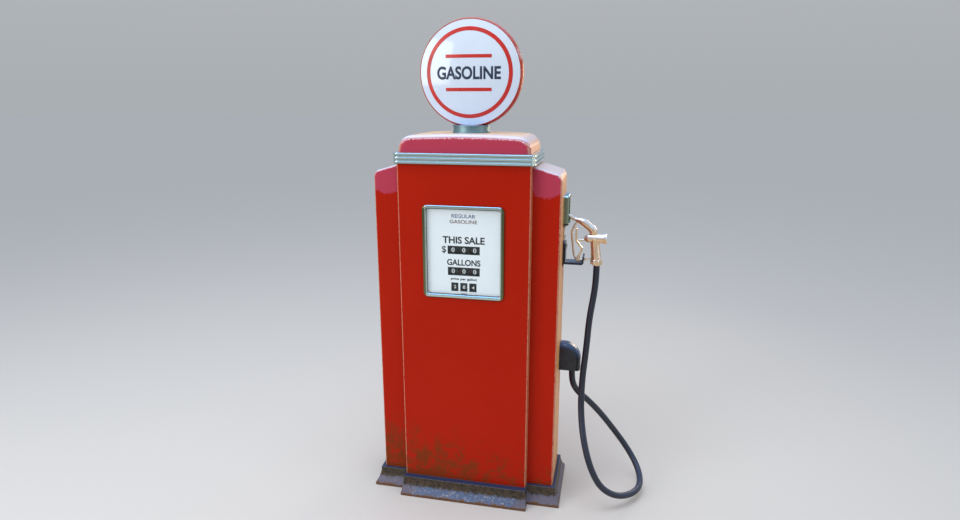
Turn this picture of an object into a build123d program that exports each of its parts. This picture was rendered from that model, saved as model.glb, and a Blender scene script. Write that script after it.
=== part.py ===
"""Mid-century computing gas pump: a sheet-steel cabinet on a cast plinth, with a lit globe on top,
a price computer behind the dial glass, pumping gear inside, and a hose and nozzle hung on the right.

Millimetres. +Z is up, the dial faces -Y, the nozzle hangs on the +X side, and the origin is on the
floor under the middle of the cabinet.
"""
import os
from math import atan2, cos, pi, radians, sin, tan

from build123d import *

os.makedirs("parts", exist_ok=True)

# ---------------------------------------------------------------- driving dimensions
centre_half_width = 250.0
centre_half_depth = 148.25
wing_half_depth = 112.4
wing_side_x = 353.5
plinth_top_z = 71.0
cabinet_top_z = 1350.0
sheet = 2.25
corner_radius = 8.0

wing_shoulder_z = 1346.0
wing_corner_z = 1290.0
wing_corner_radius = 34.0
wing_shoulder_drop = 26.0

band_height = 40.0
band_proud = 13.0
cap_half_width = 246.0
cap_top_z = 1457.0

globe_centre_z = 1670.0
globe_lens_radius = 185.5
globe_rim_radius = 194.5
globe_half_width = 26.0
globe_dome = 28.0
collar_radius = 70.5
collar_top_z = 1484.0

dial_centre_z = 1025.0
bezel_half_width = 155.0
bezel_half_height = 177.0
bezel_border = 14.5
bezel_proud = 7.75

number_drum_radius = 36.0
number_drum_width = 40.0
number_drum_pitch = 41.5
number_drum_y = -99.5
price_wheel_radius = 28.0
price_wheel_width = 30.0
price_wheel_pitch = 35.0
price_wheel_y = -107.5
sale_row_z = 1033.0
gallons_row_z = 951.0
price_row_z = 887.0
price_window_z = 890.0
shaft_radius = 4.0
running_clearance = 0.05

side_y = 50.0
hook_travel = 4.5
hose_radius = 12.5
hose_gland_z = 512.0
valve_z = 1060.0
lever_pivot = (412.0, 984.0)

motor_centre = (105.0, 225.0)
pump_centre = (-105.0, 235.0)
pulley_front_y = -104.0
pulley_width = 18.0
motor_pulley_radius = 33.0
pump_pulley_radius = 82.5
belt_width = 9.0
belt_thickness = 7.0

hinge_pin_x = -257.0
hinge_pin_y = 118.5
hinge_heights = (200.0, 700.0, 1200.0)
lock_x = 200.0
lock_z = 720.0

suction_x = -105.0
suction_y = 60.0
suction_outer_radius = 24.15
suction_inner_radius = 20.45
conduit_x = -315.0
conduit_outer_radius = 13.35
conduit_inner_radius = 10.5

# The hose's line from the gland under the hood to the nozzle's swivel: it swings back and down,
# turns forward near the floor, and climbs in front of itself to the nozzle.
hose_route = [
    (405, 50, 512),
    (405, 50, 464),
    (426, 63, 414),
    (474, 91, 362),
    (524, 120, 298),
    (588, 160, 200),
    (650, 160, 118),
    (696, 112, 60),
    (706, 30, 34),
    (672, -50, 38),
    (606, -108, 56),
    (544, -134, 102),
    (502, -128, 176),
    (470, -94, 268),
    (451, -40, 370),
    (449, -6, 490),
    (460, 8, 620),
    (466, 16, 745),
    (479, 42, 835),
    (484, 50, 895),
    (484, 50, 955),
]


# ---------------------------------------------------------------- helpers
def bar(x0, x1, y0, y1, z0, z1, mode=Mode.ADD):
    """A square-edged block between two opposite corners."""
    with Locations(((x0 + x1) / 2, (y0 + y1) / 2, (z0 + z1) / 2)):
        Box(x1 - x0, y1 - y0, z1 - z0, mode=mode)


def rod(x, y, z, radius, length, axis="Z", mode=Mode.ADD):
    """A round bar whose middle is at x, y, z, along the named axis."""
    turn = {"X": (0, 90, 0), "Y": (90, 0, 0), "Z": (0, 0, 0)}[axis]
    with Locations((x, y, z)):
        Cylinder(radius, length, rotation=turn, mode=mode)


def slab(plane, outline, depth, mode=Mode.ADD):
    """An outline of points on a plane, made solid to a depth along the plane's normal."""
    with BuildSketch(plane) as shape:
        with BuildLine():
            Polyline(*outline, close=True)
        make_face()
    extrude(shape.sketch, amount=depth, mode=mode)


def frame_plane(width, height, radius, y, depth, mode=Mode.ADD):
    """A rounded rectangle facing -Y around the dial's centre, from y back to y + depth."""
    with BuildSketch(Plane.XZ.offset(-y)) as shape:
        with Locations((0, dial_centre_z)):
            RectangleRounded(width, height, radius)
    extrude(shape.sketch, amount=-depth, mode=mode)


def route_radii(points, share=0.45):
    """The largest arc radius at each corner of a route that its two runs leave room for."""
    radii = []
    for before, here, after in zip(points, points[1:], points[2:]):
        run_in = Vector(*here) - Vector(*before)
        run_out = Vector(*after) - Vector(*here)
        half_turn = radians(run_in.get_angle(run_out)) / 2
        radii.append(share * min(run_in.length, run_out.length) / tan(half_turn))
    return radii


def pipe_along(points, radius, radii, mode=Mode.ADD):
    """A round bar along straight runs joined by tangent arcs."""
    with BuildLine() as line:
        FilletPolyline(*points, radius=radii)
    with BuildSketch(Plane(origin=points[0], z_dir=Vector(*points[1]) - Vector(*points[0]))) as ring:
        Circle(radius)
    sweep(ring.sketch, path=line.wires()[0], mode=mode)


def save(part, name):
    part.part.label = name
    export_step(part.part, f"parts/{name}.step")


# ---------------------------------------------------------------- plinth and frame
plinth_floor = 12.0
plinth_lip = 12.0
cavity_half_depth = 138.0
cavity_half_width = 246.0
wing_cavity_half_width = 340.0
wing_cavity_half_depth = 104.0
anchor_x = 200.0
anchor_y = 95.0
anchor_hole_radius = 9.0
plinth_rim = 8.0
cove_middle_height = 0.42
cove_middle_reach = 0.36
wing_centre_x = 298.5
through = 20.0


def cove_block(half_top_x, half_bottom_x, half_top_y, half_bottom_y, shift_x=0.0):
    """A block with hollow-curved sides: the part that two flared profiles, along X and Y, share."""
    solids = []
    for plane, half_top, half_bottom, shift, reach in (
        (Plane.XZ, half_top_x, half_bottom_x, shift_x, half_bottom_y + 5),
        (Plane.YZ, half_top_y, half_bottom_y, 0.0, abs(shift_x) + half_bottom_x + 5),
    ):
        flare = half_bottom - half_top
        rim_z = plinth_top_z - plinth_rim
        middle_z = plinth_lip + (rim_z - plinth_lip) * cove_middle_height
        with BuildPart() as profile:
            with BuildSketch(plane):
                with BuildLine():
                    for side in (-1, 1):
                        ThreePointArc(
                            (shift + side * half_bottom, plinth_lip),
                            (shift + side * (half_top + flare * cove_middle_reach), middle_z),
                            (shift + side * half_top, rim_z),
                        )
                        Line((shift + side * half_bottom, plinth_lip), (shift + side * half_bottom, 0))
                        Line((shift + side * half_top, rim_z), (shift + side * half_top, plinth_top_z))
                    Line((shift - half_bottom, 0), (shift + half_bottom, 0))
                    Line((shift - half_top, plinth_top_z), (shift + half_top, plinth_top_z))
                make_face()
            extrude(amount=reach, both=True)
        solids.append(profile.part)
    return solids[0] & solids[1]


centre_block = cove_block(half_top_x=253.0, half_bottom_x=258.0, half_top_y=173.3, half_bottom_y=201.3)
wing_blocks = [
    cove_block(half_top_x=68.0, half_bottom_x=86.0, half_top_y=125.4, half_bottom_y=152.4,
               shift_x=side * wing_centre_x)
    for side in (-1, 1)
]

with BuildPart() as base_plinth:
    add(centre_block)
    add(wing_blocks[0])
    add(wing_blocks[1])
    bar(-cavity_half_width, cavity_half_width, -cavity_half_depth, cavity_half_depth,
        plinth_floor, plinth_top_z + 1, Mode.SUBTRACT)
    bar(-wing_cavity_half_width, wing_cavity_half_width, -wing_cavity_half_depth, wing_cavity_half_depth,
        plinth_floor, plinth_top_z + 1, Mode.SUBTRACT)
    with Locations((0, 0, plinth_floor / 2)):
        with GridLocations(2 * anchor_x, 2 * anchor_y, 2, 2):
            Cylinder(anchor_hole_radius, plinth_floor + 2, mode=Mode.SUBTRACT)
    rod(suction_x, suction_y, plinth_floor / 2, suction_outer_radius + 4, plinth_floor + 2,
        mode=Mode.SUBTRACT)
    rod(conduit_x, 0, plinth_floor / 2, conduit_outer_radius + 3, plinth_floor + 2, mode=Mode.SUBTRACT)
save(base_plinth, "base_plinth")

post_outer_x = 244.0
post_outer_y = 136.0
post_leg = 25.0
post_gauge = 3.0
post_top_z = 1328.0

with BuildPart() as frame_posts:
    for side_x in (-1, 1):
        for end_y in (-1, 1):
            x_leg = sorted((side_x * post_outer_x, side_x * (post_outer_x - post_leg)))
            y_leg = sorted((end_y * post_outer_y, end_y * (post_outer_y - post_leg)))
            x_gauge = sorted((side_x * post_outer_x, side_x * (post_outer_x - post_gauge)))
            y_gauge = sorted((end_y * post_outer_y, end_y * (post_outer_y - post_gauge)))
            bar(*x_leg, *y_gauge, plinth_floor, post_top_z)
            bar(*x_gauge, *y_leg, plinth_floor, post_top_z)
save(frame_posts, "frame_posts")

deck_z = 110.0
meter_shelf_z = 440.0
computer_shelf_z = 824.0
top_shelf_z = 1330.0
shelf_gauge = 4.0
shelf_half_width = 240.5
shelf_half_depth = 132.5
meter_x = 40.0
meter_y = -10.0
separator_x = -120.0
separator_y = 35.0
separator_hole_radius = 60.0
shaft_hole_radius = 9.0
wiring_hole_radius = 20.0
shelf_corner = post_outer_x - post_leg - 0.5, post_outer_y - post_leg - 0.5
beyond_shelf = 20.0

with BuildPart() as frame_shelves:
    for height in (deck_z, meter_shelf_z, computer_shelf_z):
        bar(-shelf_half_width, shelf_half_width, -shelf_half_depth, shelf_half_depth,
            height - shelf_gauge, height)
    bar(-post_outer_x, post_outer_x, -post_outer_y, post_outer_y, top_shelf_z - 2, top_shelf_z + 2)
    for side_x in (-1, 1):
        for end_y in (-1, 1):
            corner_x = sorted((side_x * (shelf_half_width + beyond_shelf), side_x * shelf_corner[0]))
            corner_y = sorted((end_y * (shelf_half_depth + beyond_shelf), end_y * shelf_corner[1]))
            bar(*corner_x, *corner_y, deck_z - 10, computer_shelf_z + 5, Mode.SUBTRACT)
    rod(suction_x, suction_y, deck_z, suction_outer_radius + 3, through, mode=Mode.SUBTRACT)
    rod(separator_x, separator_y, meter_shelf_z, separator_hole_radius, through, mode=Mode.SUBTRACT)
    rod(meter_x, meter_y, computer_shelf_z, shaft_hole_radius, through, mode=Mode.SUBTRACT)
    rod(0, 0, top_shelf_z, wiring_hole_radius, through, mode=Mode.SUBTRACT)
save(frame_shelves, "frame_shelves")

# ---------------------------------------------------------------- cabinet shells
inner_half_width = centre_half_width - sheet
inner_corner_radius = corner_radius - sheet


def hollow(y0, y1, z0, z1):
    """Clears the inside of a channel-shaped panel, leaving its bends evenly thick."""
    with BuildSketch(Plane.XY.offset(z0)) as inside:
        with Locations((0, (y0 + y1) / 2)):
            RectangleRounded(2 * inner_half_width, y1 - y0, inner_corner_radius)
    extrude(inside.sketch, amount=z1 - z0, mode=Mode.SUBTRACT)


panel_return = 10.0
panel_hole_radius = 10.0

with BuildPart() as front_panel:
    bar(-centre_half_width, centre_half_width, -centre_half_depth, -wing_half_depth + panel_return,
        plinth_top_z, cabinet_top_z)
    fillet(front_panel.edges().filter_by(Axis.Z).group_by(Axis.Y)[0], corner_radius)
    hollow(-centre_half_depth + sheet, -wing_half_depth + 30, plinth_top_z - 1, cabinet_top_z + 1)
    frame_plane(2 * (bezel_half_width - bezel_border + 0.5), 2 * (bezel_half_height - bezel_border + 0.5),
                panel_hole_radius, -centre_half_depth - 1, through, Mode.SUBTRACT)
save(front_panel, "front_panel")


shoulder_run = 17.0
shoulder_bend = (4.6, 18.5)


def wing_outline(side, inset):
    """The wing's outline seen from the front: upright side, round shoulder and sloping top."""
    outer = wing_side_x - inset
    inner = centre_half_width - (1 if inset else 0)
    slope = wing_shoulder_drop / (wing_side_x - wing_corner_radius / 2 - centre_half_width)
    shoulder_x = wing_side_x - shoulder_run - inset * 0.6
    shoulder_z = wing_shoulder_z - slope * (shoulder_x - centre_half_width) - inset
    inner_z = wing_shoulder_z - inset - slope * (inner - centre_half_width)
    bend = (wing_side_x - shoulder_bend[0] - inset, wing_corner_z + shoulder_bend[1] - inset * 0.5)
    with BuildLine() as edge:
        Polyline((side * outer, wing_corner_z), (side * outer, plinth_top_z - (1 if inset else 0)),
                 (side * inner, plinth_top_z - (1 if inset else 0)), (side * inner, inner_z),
                 (side * shoulder_x, shoulder_z))
        ThreePointArc((side * shoulder_x, shoulder_z), (side * bend[0], bend[1]),
                      (side * outer, wing_corner_z))
    make_face(edge.edges())


def wing_block(side, inset):
    """The wing's outline made solid, with every edge rounded except where it meets the cabinet."""
    half_depth = wing_half_depth - inset
    with BuildPart(mode=Mode.PRIVATE) as block:
        with BuildSketch(Plane.XZ.offset(-half_depth)):
            wing_outline(side, inset)
        extrude(amount=2 * half_depth)
        rounded = [
            edge for face in block.faces().filter_by(Axis.Y) for edge in face.edges()
            if abs(edge.center().X) > centre_half_width + 2 and edge.center().Z > plinth_top_z + 2
        ]
        fillet(rounded, corner_radius - inset)
    return block.part


def wing_shell(side):
    """One side casing: a hollow shell, open towards the cabinet and at its foot."""
    add(wing_block(side, 0.0))
    add(wing_block(side, sheet), mode=Mode.SUBTRACT)


knuckle_length = 20.0
knuckle_radius = 6.0
pin_radius = 3.0
hinge_leaf_width = 28.0
hinge_leaf_gauge = 2.0
door_leaf_half_gauge = 2.5
knuckle_gap = 0.5

with BuildPart() as left_wing:
    wing_shell(-1)
    for height in hinge_heights:
        bar(hinge_pin_x - hinge_leaf_width, hinge_pin_x, wing_half_depth, wing_half_depth + hinge_leaf_gauge,
            height - knuckle_length, height)
        rod(hinge_pin_x, hinge_pin_y, height - knuckle_length / 2, knuckle_radius, knuckle_length)
        bar(hinge_pin_x - knuckle_radius, hinge_pin_x, wing_half_depth, hinge_pin_y - 1,
            height - knuckle_length, height)
        rod(hinge_pin_x, hinge_pin_y, height - knuckle_length / 2, pin_radius + running_clearance,
            knuckle_length + 2, mode=Mode.SUBTRACT)
save(left_wing, "left_wing")

pocket_half_width = 32.0
pocket_low_z = 1121.0
pocket_high_z = 1223.0
hook_rod_z = 992.0
outlet_y = 52.0
outlet_z = 575.0
outlet_radius = 17.0
rod_slot_half_width = 6.5


def hook_rod_slot():
    """Cuts the slot that the hook's rod passes and rises in."""
    bar(wing_side_x - 5, wing_side_x + 10, side_y - rod_slot_half_width, side_y + rod_slot_half_width,
        hook_rod_z - rod_slot_half_width, hook_rod_z + rod_slot_half_width + hook_travel, Mode.SUBTRACT)


with BuildPart() as right_wing:
    wing_shell(1)
    bar(wing_side_x - 5, wing_side_x + 1, side_y - pocket_half_width, side_y + pocket_half_width,
        pocket_low_z, pocket_high_z, Mode.SUBTRACT)
    hook_rod_slot()
    rod(wing_side_x, outlet_y, outlet_z, outlet_radius + 0.5, through, "X", Mode.SUBTRACT)
save(right_wing, "right_wing")

door_gap = 2.0
door_z0 = plinth_top_z + door_gap
door_z1 = cabinet_top_z - door_gap
door_return_y = wing_half_depth + 1.6
lock_barrel_radius = 9.0
louvre_rows = 6
louvre_pitch = 26.0
louvre_height = 7.0
louvre_half_width = 70.0
louvre_low_z = 250.0

with BuildPart() as rear_door:
    bar(-centre_half_width, centre_half_width, door_return_y, centre_half_depth, door_z0, door_z1)
    fillet(rear_door.edges().filter_by(Axis.Z).group_by(Axis.Y)[-1], corner_radius)
    hollow(door_return_y - 20, centre_half_depth - sheet, door_z0 - 1, door_z1 + 1)
    for height in hinge_heights:
        knuckle_low_z = height + knuckle_gap
        knuckle_middle_z = knuckle_low_z + knuckle_length / 2
        rod(hinge_pin_x, hinge_pin_y, knuckle_middle_z, knuckle_radius, knuckle_length)
        bar(hinge_pin_x, -centre_half_width, hinge_pin_y - door_leaf_half_gauge,
            hinge_pin_y + door_leaf_half_gauge, knuckle_low_z, knuckle_low_z + knuckle_length)
        rod(hinge_pin_x, hinge_pin_y, knuckle_middle_z, pin_radius + running_clearance,
            knuckle_length + 2, mode=Mode.SUBTRACT)
    rod(lock_x, centre_half_depth, lock_z, lock_barrel_radius + running_clearance, through, "Y",
        Mode.SUBTRACT)
    # louvre slots for the motor's cooling air
    for row in range(louvre_rows):
        slot_z = louvre_low_z + louvre_pitch * row
        bar(-louvre_half_width, louvre_half_width, centre_half_depth - 5, centre_half_depth + 5,
            slot_z, slot_z + louvre_height, Mode.SUBTRACT)
save(rear_door, "rear_door")

pin_head_height = 3.0
pin_head_z = -knuckle_length - 2

with BuildPart() as door_hinge_pins:
    for height in hinge_heights:
        rod(hinge_pin_x, hinge_pin_y, height + knuckle_gap, pin_radius, 2 * knuckle_length + 2)
        rod(hinge_pin_x, hinge_pin_y, height + pin_head_z, pin_radius + 1.5, pin_head_height)
save(door_hinge_pins, "door_hinge_pins")

barrel_back_y = 151.0
barrel_front_y = 142.0
escutcheon_radius = 13.0
escutcheon_y = centre_half_depth + 0.35
tongue_y = 128.0
tongue_gauge = 3.0
tongue_half_width = 6.0
tongue_length = 36.0
handle_y = 154.0
handle_gauge = 8.0
handle_half_width = 5.0
handle_half_length = 24.0

# at rest the tongue hangs down and lets the door open; a quarter turn takes it behind the rear post
with BuildPart() as door_lock:
    rod(lock_x, (barrel_front_y + barrel_back_y) / 2, lock_z, lock_barrel_radius,
        barrel_back_y - barrel_front_y, "Y")
    rod(lock_x, (tongue_y + barrel_back_y) / 2, lock_z, tongue_half_width, barrel_back_y - tongue_y, "Y")
    bar(lock_x - tongue_half_width, lock_x + tongue_half_width, tongue_y, tongue_y + tongue_gauge,
        lock_z - tongue_length, lock_z + tongue_half_width)
    rod(lock_x, (escutcheon_y + handle_y) / 2, lock_z, escutcheon_radius, handle_y - escutcheon_y, "Y")
    bar(lock_x - handle_half_width, lock_x + handle_half_width, handle_y, handle_y + handle_gauge,
        lock_z - handle_half_length, lock_z + handle_half_length)
    fillet(door_lock.faces().sort_by(Axis.Y)[-1].edges(), 2)
save(door_lock, "door_lock")

# ---------------------------------------------------------------- band, cap, collar, globe
band_wall = 12.0
rib_height = 10.0
rib_gap = 4.6
rib_low = 0.4
rib_radius = 2.4
core_proud = band_proud - 6

with BuildPart() as trim_band:
    for rise, height, proud in (
        [(0.0, band_height, core_proud)]
        + [(rib_low + n * (rib_height + rib_gap), rib_height, band_proud) for n in range(3)]
    ):
        with BuildSketch(Plane.XY.offset(cabinet_top_z + rise)):
            RectangleRounded(2 * (centre_half_width + proud), 2 * (centre_half_depth + proud),
                             corner_radius + proud)
        extrude(amount=height)
    rib_edges = [
        e for e in trim_band.edges()
        if abs(e.center().X) > centre_half_width + band_proud - 2.5
        or abs(e.center().Y) > centre_half_depth + band_proud - 2.5
    ]
    fillet([e for e in rib_edges if abs(e.tangent_at(0.5).Z) < 0.1], rib_radius)
    with BuildSketch(Plane.XY.offset(cabinet_top_z)):
        RectangleRounded(2 * (centre_half_width - band_wall), 2 * (centre_half_depth - band_wall), 6)
    extrude(amount=band_height, mode=Mode.SUBTRACT)
save(trim_band, "trim_band")

cap_base_z = cabinet_top_z + band_height
cap_gauge = 3.0
cap_half_depth = 147.0
cap_roll_radius = 20.0
lamp_hole_radius = 14.0
cap_upright = 16.0
cap_lean = 2.0
cap_shoulder = 46.0
cap_crown = 6.0
cap_bend = (15.0, 45.0)


def cap_outline(inset, foot):
    """The cap seen from the front: near-upright ends, round shoulders and a slightly crowned top."""
    half = cap_half_width - inset
    upright_z = cap_base_z + cap_upright
    crown_z = cap_top_z - cap_crown - inset
    with BuildLine() as edge:
        Polyline((-half + cap_lean, upright_z), (-half, foot), (half, foot), (half - cap_lean, upright_z))
        for side in (-1, 1):
            ThreePointArc(
                (side * (half - cap_lean), upright_z),
                (side * (half - cap_bend[0]), cap_base_z + cap_bend[1] - inset * 0.7),
                (side * (half - cap_shoulder), crown_z),
            )
        ThreePointArc((-half + cap_shoulder, crown_z), (0, cap_top_z - inset), (half - cap_shoulder, crown_z))
    make_face(edge.edges())


def cap_block(inset, foot):
    """The cap's outline made solid, rolled over at the front and the back."""
    half_depth = cap_half_depth - inset
    with BuildPart(mode=Mode.PRIVATE) as block:
        with BuildSketch(Plane.XZ.offset(-half_depth)):
            cap_outline(inset, foot)
        extrude(amount=2 * half_depth)
        rolled = [e for f in block.faces().filter_by(Axis.Y) for e in f.edges()
                  if e.center().Z > cap_base_z + 2]
        fillet(rolled, cap_roll_radius - inset)
    return block.part


with BuildPart() as top_cap:
    add(cap_block(0.0, cap_base_z))
    add(cap_block(cap_gauge, cap_base_z - 1), mode=Mode.SUBTRACT)
    rod(0, 0, cap_top_z, lamp_hole_radius, 30, mode=Mode.SUBTRACT)
save(top_cap, "top_cap")

saddle_gap = 0.2
collar_bore_radius = 30.0
collar_bead = 4.0
collar_waist_radius = collar_radius - 3.0

with BuildPart() as globe_collar:
    with BuildSketch(Plane.XZ):
        with BuildLine():
            Polyline((collar_bore_radius, cap_top_z), (collar_radius, cap_top_z),
                     (collar_radius, cap_top_z + collar_bead),
                     (collar_waist_radius, cap_top_z + collar_bead + 1),
                     (collar_waist_radius, collar_top_z - collar_bead - 1),
                     (collar_radius, collar_top_z - collar_bead), (collar_radius, collar_top_z),
                     (collar_bore_radius, collar_top_z), close=True)
        make_face()
    revolve(axis=Axis.Z)
    # the saddle that the globe's band sits in, hidden behind the collar's front and back edges
    rod(0, 0, globe_centre_z, globe_rim_radius + saddle_gap, 2 * (globe_half_width + 1), "Y", Mode.SUBTRACT)
save(globe_collar, "globe_collar")

globe_axis = Axis((0, 0, globe_centre_z), (0, 1, 0))
rim_edge_radius = globe_lens_radius + 2.5
rim_seat_radius = globe_lens_radius + 0.3
rim_wall = 6.0

with BuildPart() as globe_rim:
    with BuildSketch(Plane.YZ):
        with BuildLine():
            ThreePointArc(
                (-globe_half_width, globe_centre_z + rim_edge_radius),
                (0, globe_centre_z + globe_rim_radius),
                (globe_half_width, globe_centre_z + rim_edge_radius),
            )
            Polyline(
                (globe_half_width, globe_centre_z + rim_edge_radius),
                (globe_half_width, globe_centre_z + rim_seat_radius),
                (globe_half_width - rim_wall, globe_centre_z + rim_seat_radius),
                (globe_half_width - rim_wall, globe_centre_z + rim_seat_radius - rim_wall),
                (-globe_half_width + rim_wall, globe_centre_z + rim_seat_radius - rim_wall),
                (-globe_half_width + rim_wall, globe_centre_z + rim_seat_radius),
                (-globe_half_width, globe_centre_z + rim_seat_radius),
                (-globe_half_width, globe_centre_z + rim_edge_radius),
            )
        make_face()
    revolve(axis=globe_axis)
    rod(0, 0, globe_centre_z - globe_lens_radius, lamp_hole_radius, 40, mode=Mode.SUBTRACT)
save(globe_rim, "globe_rim")

lens_thickness = 4.0
lens_ball_radius = (globe_lens_radius**2 + globe_dome**2) / (2 * globe_dome)


def lens(side):
    """A shallow glass dome, part of a large hollow ball, whose edge sits in the globe's band."""
    ball_y = side * (globe_half_width + globe_dome - lens_ball_radius)
    with Locations((0, ball_y, globe_centre_z)):
        Sphere(lens_ball_radius)
    with Locations((0, ball_y - side * lens_thickness, globe_centre_z)):
        Sphere(lens_ball_radius, mode=Mode.SUBTRACT)
    crown_y = side * (globe_half_width + globe_dome)
    edge_y = side * (globe_half_width - lens_thickness - 1)
    rod(0, (crown_y + edge_y) / 2, globe_centre_z, globe_lens_radius, abs(crown_y - edge_y) + 1, "Y",
        Mode.INTERSECT)


with BuildPart() as globe_lens_front:
    lens(-1)
save(globe_lens_front, "globe_lens_front")

with BuildPart() as globe_lens_rear:
    lens(1)
save(globe_lens_rear, "globe_lens_rear")

bulb_z = 1628.0
bulb_radius = 30.0
bulb_cap_radius = 13.8
socket_top_z = 1580.0
socket_height = 32.0
socket_radius = 19.0
stalk_radius = 11.0
stalk_foot_z = top_shelf_z + shelf_gauge / 2
stalk_top_z = socket_top_z - socket_height + 2

with BuildPart() as lamp_socket:
    rod(0, 0, (stalk_foot_z + stalk_top_z) / 2, stalk_radius, stalk_top_z - stalk_foot_z)
    rod(0, 0, socket_top_z - socket_height / 2, socket_radius, socket_height)
    rod(0, 0, socket_top_z, bulb_cap_radius + 0.4, socket_height - 2, mode=Mode.SUBTRACT)
save(lamp_socket, "lamp_socket")

with BuildPart() as globe_lamp:
    with Locations((0, 0, bulb_z)):
        Sphere(bulb_radius)
    rod(0, 0, socket_top_z + 5, bulb_cap_radius, 36)
save(globe_lamp, "globe_lamp")

# ---------------------------------------------------------------- dial
opening_half_width = bezel_half_width - bezel_border
opening_half_height = bezel_half_height - bezel_border
panel_back_y = -centre_half_depth + sheet
gasket_gauge = 2.0
glass_gauge = 3.0
glass_y = panel_back_y + gasket_gauge
face_y = glass_y + glass_gauge + 1.5
face_gauge = 1.5
mask_y = face_y + face_gauge
mask_gauge = 1.2
bezel_corner_radius = 20.0
opening_corner_radius = 9.0
bezel_roll_radius = 4.5
glass_lap = 8.0
gasket_lap = 9.0
gasket_lip = 1.0

with BuildPart() as dial_bezel:
    frame_plane(2 * bezel_half_width, 2 * bezel_half_height, bezel_corner_radius,
                -centre_half_depth - bezel_proud, bezel_proud)
    frame_plane(2 * opening_half_width, 2 * opening_half_height, opening_corner_radius,
                -centre_half_depth - bezel_proud - 1, bezel_proud + 2, Mode.SUBTRACT)
    front = dial_bezel.faces().filter_by(Axis.Y).sort_by(Axis.Y)[0]
    fillet(front.edges(), bezel_roll_radius)
save(dial_bezel, "dial_bezel")

with BuildPart() as bezel_gasket:
    frame_plane(2 * (opening_half_width + gasket_lap), 2 * (opening_half_height + gasket_lap),
                opening_corner_radius + 3, panel_back_y, gasket_gauge)
    frame_plane(2 * (opening_half_width - gasket_lip), 2 * (opening_half_height - gasket_lip),
                opening_corner_radius - gasket_lip, panel_back_y - 1, gasket_gauge + 2, Mode.SUBTRACT)
save(bezel_gasket, "bezel_gasket")

with BuildPart() as dial_glass:
    frame_plane(2 * (opening_half_width + glass_lap), 2 * (opening_half_height + glass_lap),
                opening_corner_radius + 1, glass_y, glass_gauge)
save(dial_glass, "dial_glass")

window_half_width = 61.5
window_half_height = 16.0
price_window_half_width = 14.0
price_window_half_height = 17.0


def windows(y, depth, shrink_x, shrink_z, price_shrink_z):
    """Cuts the two number windows and the three price windows through a plate."""
    for row_z in (sale_row_z, gallons_row_z):
        bar(-window_half_width + shrink_x, window_half_width - shrink_x, y, y + depth,
            row_z - window_half_height + shrink_z, row_z + window_half_height - shrink_z, Mode.SUBTRACT)
    for place in (-1, 0, 1):
        middle = place * price_wheel_pitch
        bar(middle - price_window_half_width + shrink_x, middle + price_window_half_width - shrink_x,
            y, y + depth, price_window_z - price_window_half_height + price_shrink_z,
            price_window_z + price_window_half_height - price_shrink_z, Mode.SUBTRACT)


with BuildPart() as dial_face:
    frame_plane(2 * (opening_half_width + glass_lap), 2 * (opening_half_height + glass_lap),
                opening_corner_radius + 1, face_y, face_gauge)
    windows(face_y - 1, face_gauge + 2, 0.0, 0.0, 0.0)
save(dial_face, "dial_face")

mask_half_width = 72.0
mask_margin = 24.0

with BuildPart() as window_mask:
    bar(-mask_half_width, mask_half_width, mask_y, mask_y + mask_gauge, price_window_z - mask_margin,
        sale_row_z + mask_margin)
    windows(mask_y - 1, mask_gauge + 2, 0.8, 5.0, 7.5)
save(window_mask, "window_mask")

plate_inner_x = 64.0
plate_gauge = 3.0
plate_front_y = -128.0
plate_back_y = -40.0
plate_top_z = sale_row_z + 45
computer_foot_gauge = 4.0
computer_foot_half_width = 85.0
tie_bars = ((-50.0, sale_row_z + 35), (-50.0, computer_shelf_z + 30), (-62.0, 920.0))
tie_radius = 4.0
number_rows_yz = (
    (number_drum_y, sale_row_z),
    (number_drum_y, gallons_row_z),
    (price_wheel_y, price_row_z),
)

with BuildPart() as computer_frame:
    for side in (-1, 1):
        bar(*sorted((side * plate_inner_x, side * (plate_inner_x + plate_gauge))), plate_front_y,
            plate_back_y, computer_shelf_z + computer_foot_gauge, plate_top_z)
    bar(-computer_foot_half_width, computer_foot_half_width, plate_front_y, plate_back_y,
        computer_shelf_z, computer_shelf_z + computer_foot_gauge)
    for tie_y, tie_z in tie_bars:
        rod(0, tie_y, tie_z, tie_radius, 2 * plate_inner_x, "X")
    rod(meter_x, meter_y, computer_shelf_z, shaft_hole_radius, through, mode=Mode.SUBTRACT)
    for row_y, row_z in number_rows_yz:
        rod(0, row_y, row_z, shaft_radius + 0.1, 4 * plate_inner_x, "X", Mode.SUBTRACT)
save(computer_frame, "computer_frame")

with BuildPart() as drum_shafts:
    for row_y, row_z in number_rows_yz:
        rod(0, row_y, row_z, shaft_radius, 2 * (plate_inner_x + plate_gauge + 2), "X")
save(drum_shafts, "drum_shafts")

drum_rim = 3.0
drum_hub_radius = 9.0


def number_wheel(x, y, z, radius, width):
    """A wheel with a printed rim, a thin web and a hub that runs on the row's shaft."""
    rod(x, y, z, radius, width, "X")
    for side in (-1, 1):
        hollow_x = x + side * (width / 4 + 1)
        rod(hollow_x, y, z, radius - drum_rim, width / 2 - 2, "X", Mode.SUBTRACT)
    rod(x, y, z, drum_hub_radius, width, "X")
    rod(x, y, z, shaft_radius + running_clearance, width + 2, "X", Mode.SUBTRACT)


number_rows = {
    "sale_drum": (("dollars", "dimes", "cents"), sale_row_z),
    "gallons_drum": (("tens", "units", "tenths"), gallons_row_z),
}
for row, (places, row_z) in number_rows.items():
    for place, place_name in enumerate(places):
        with BuildPart() as number_drum:
            number_wheel((place - 1) * number_drum_pitch, number_drum_y, row_z,
                         number_drum_radius, number_drum_width)
        save(number_drum, f"{row}_{place_name}")

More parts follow.
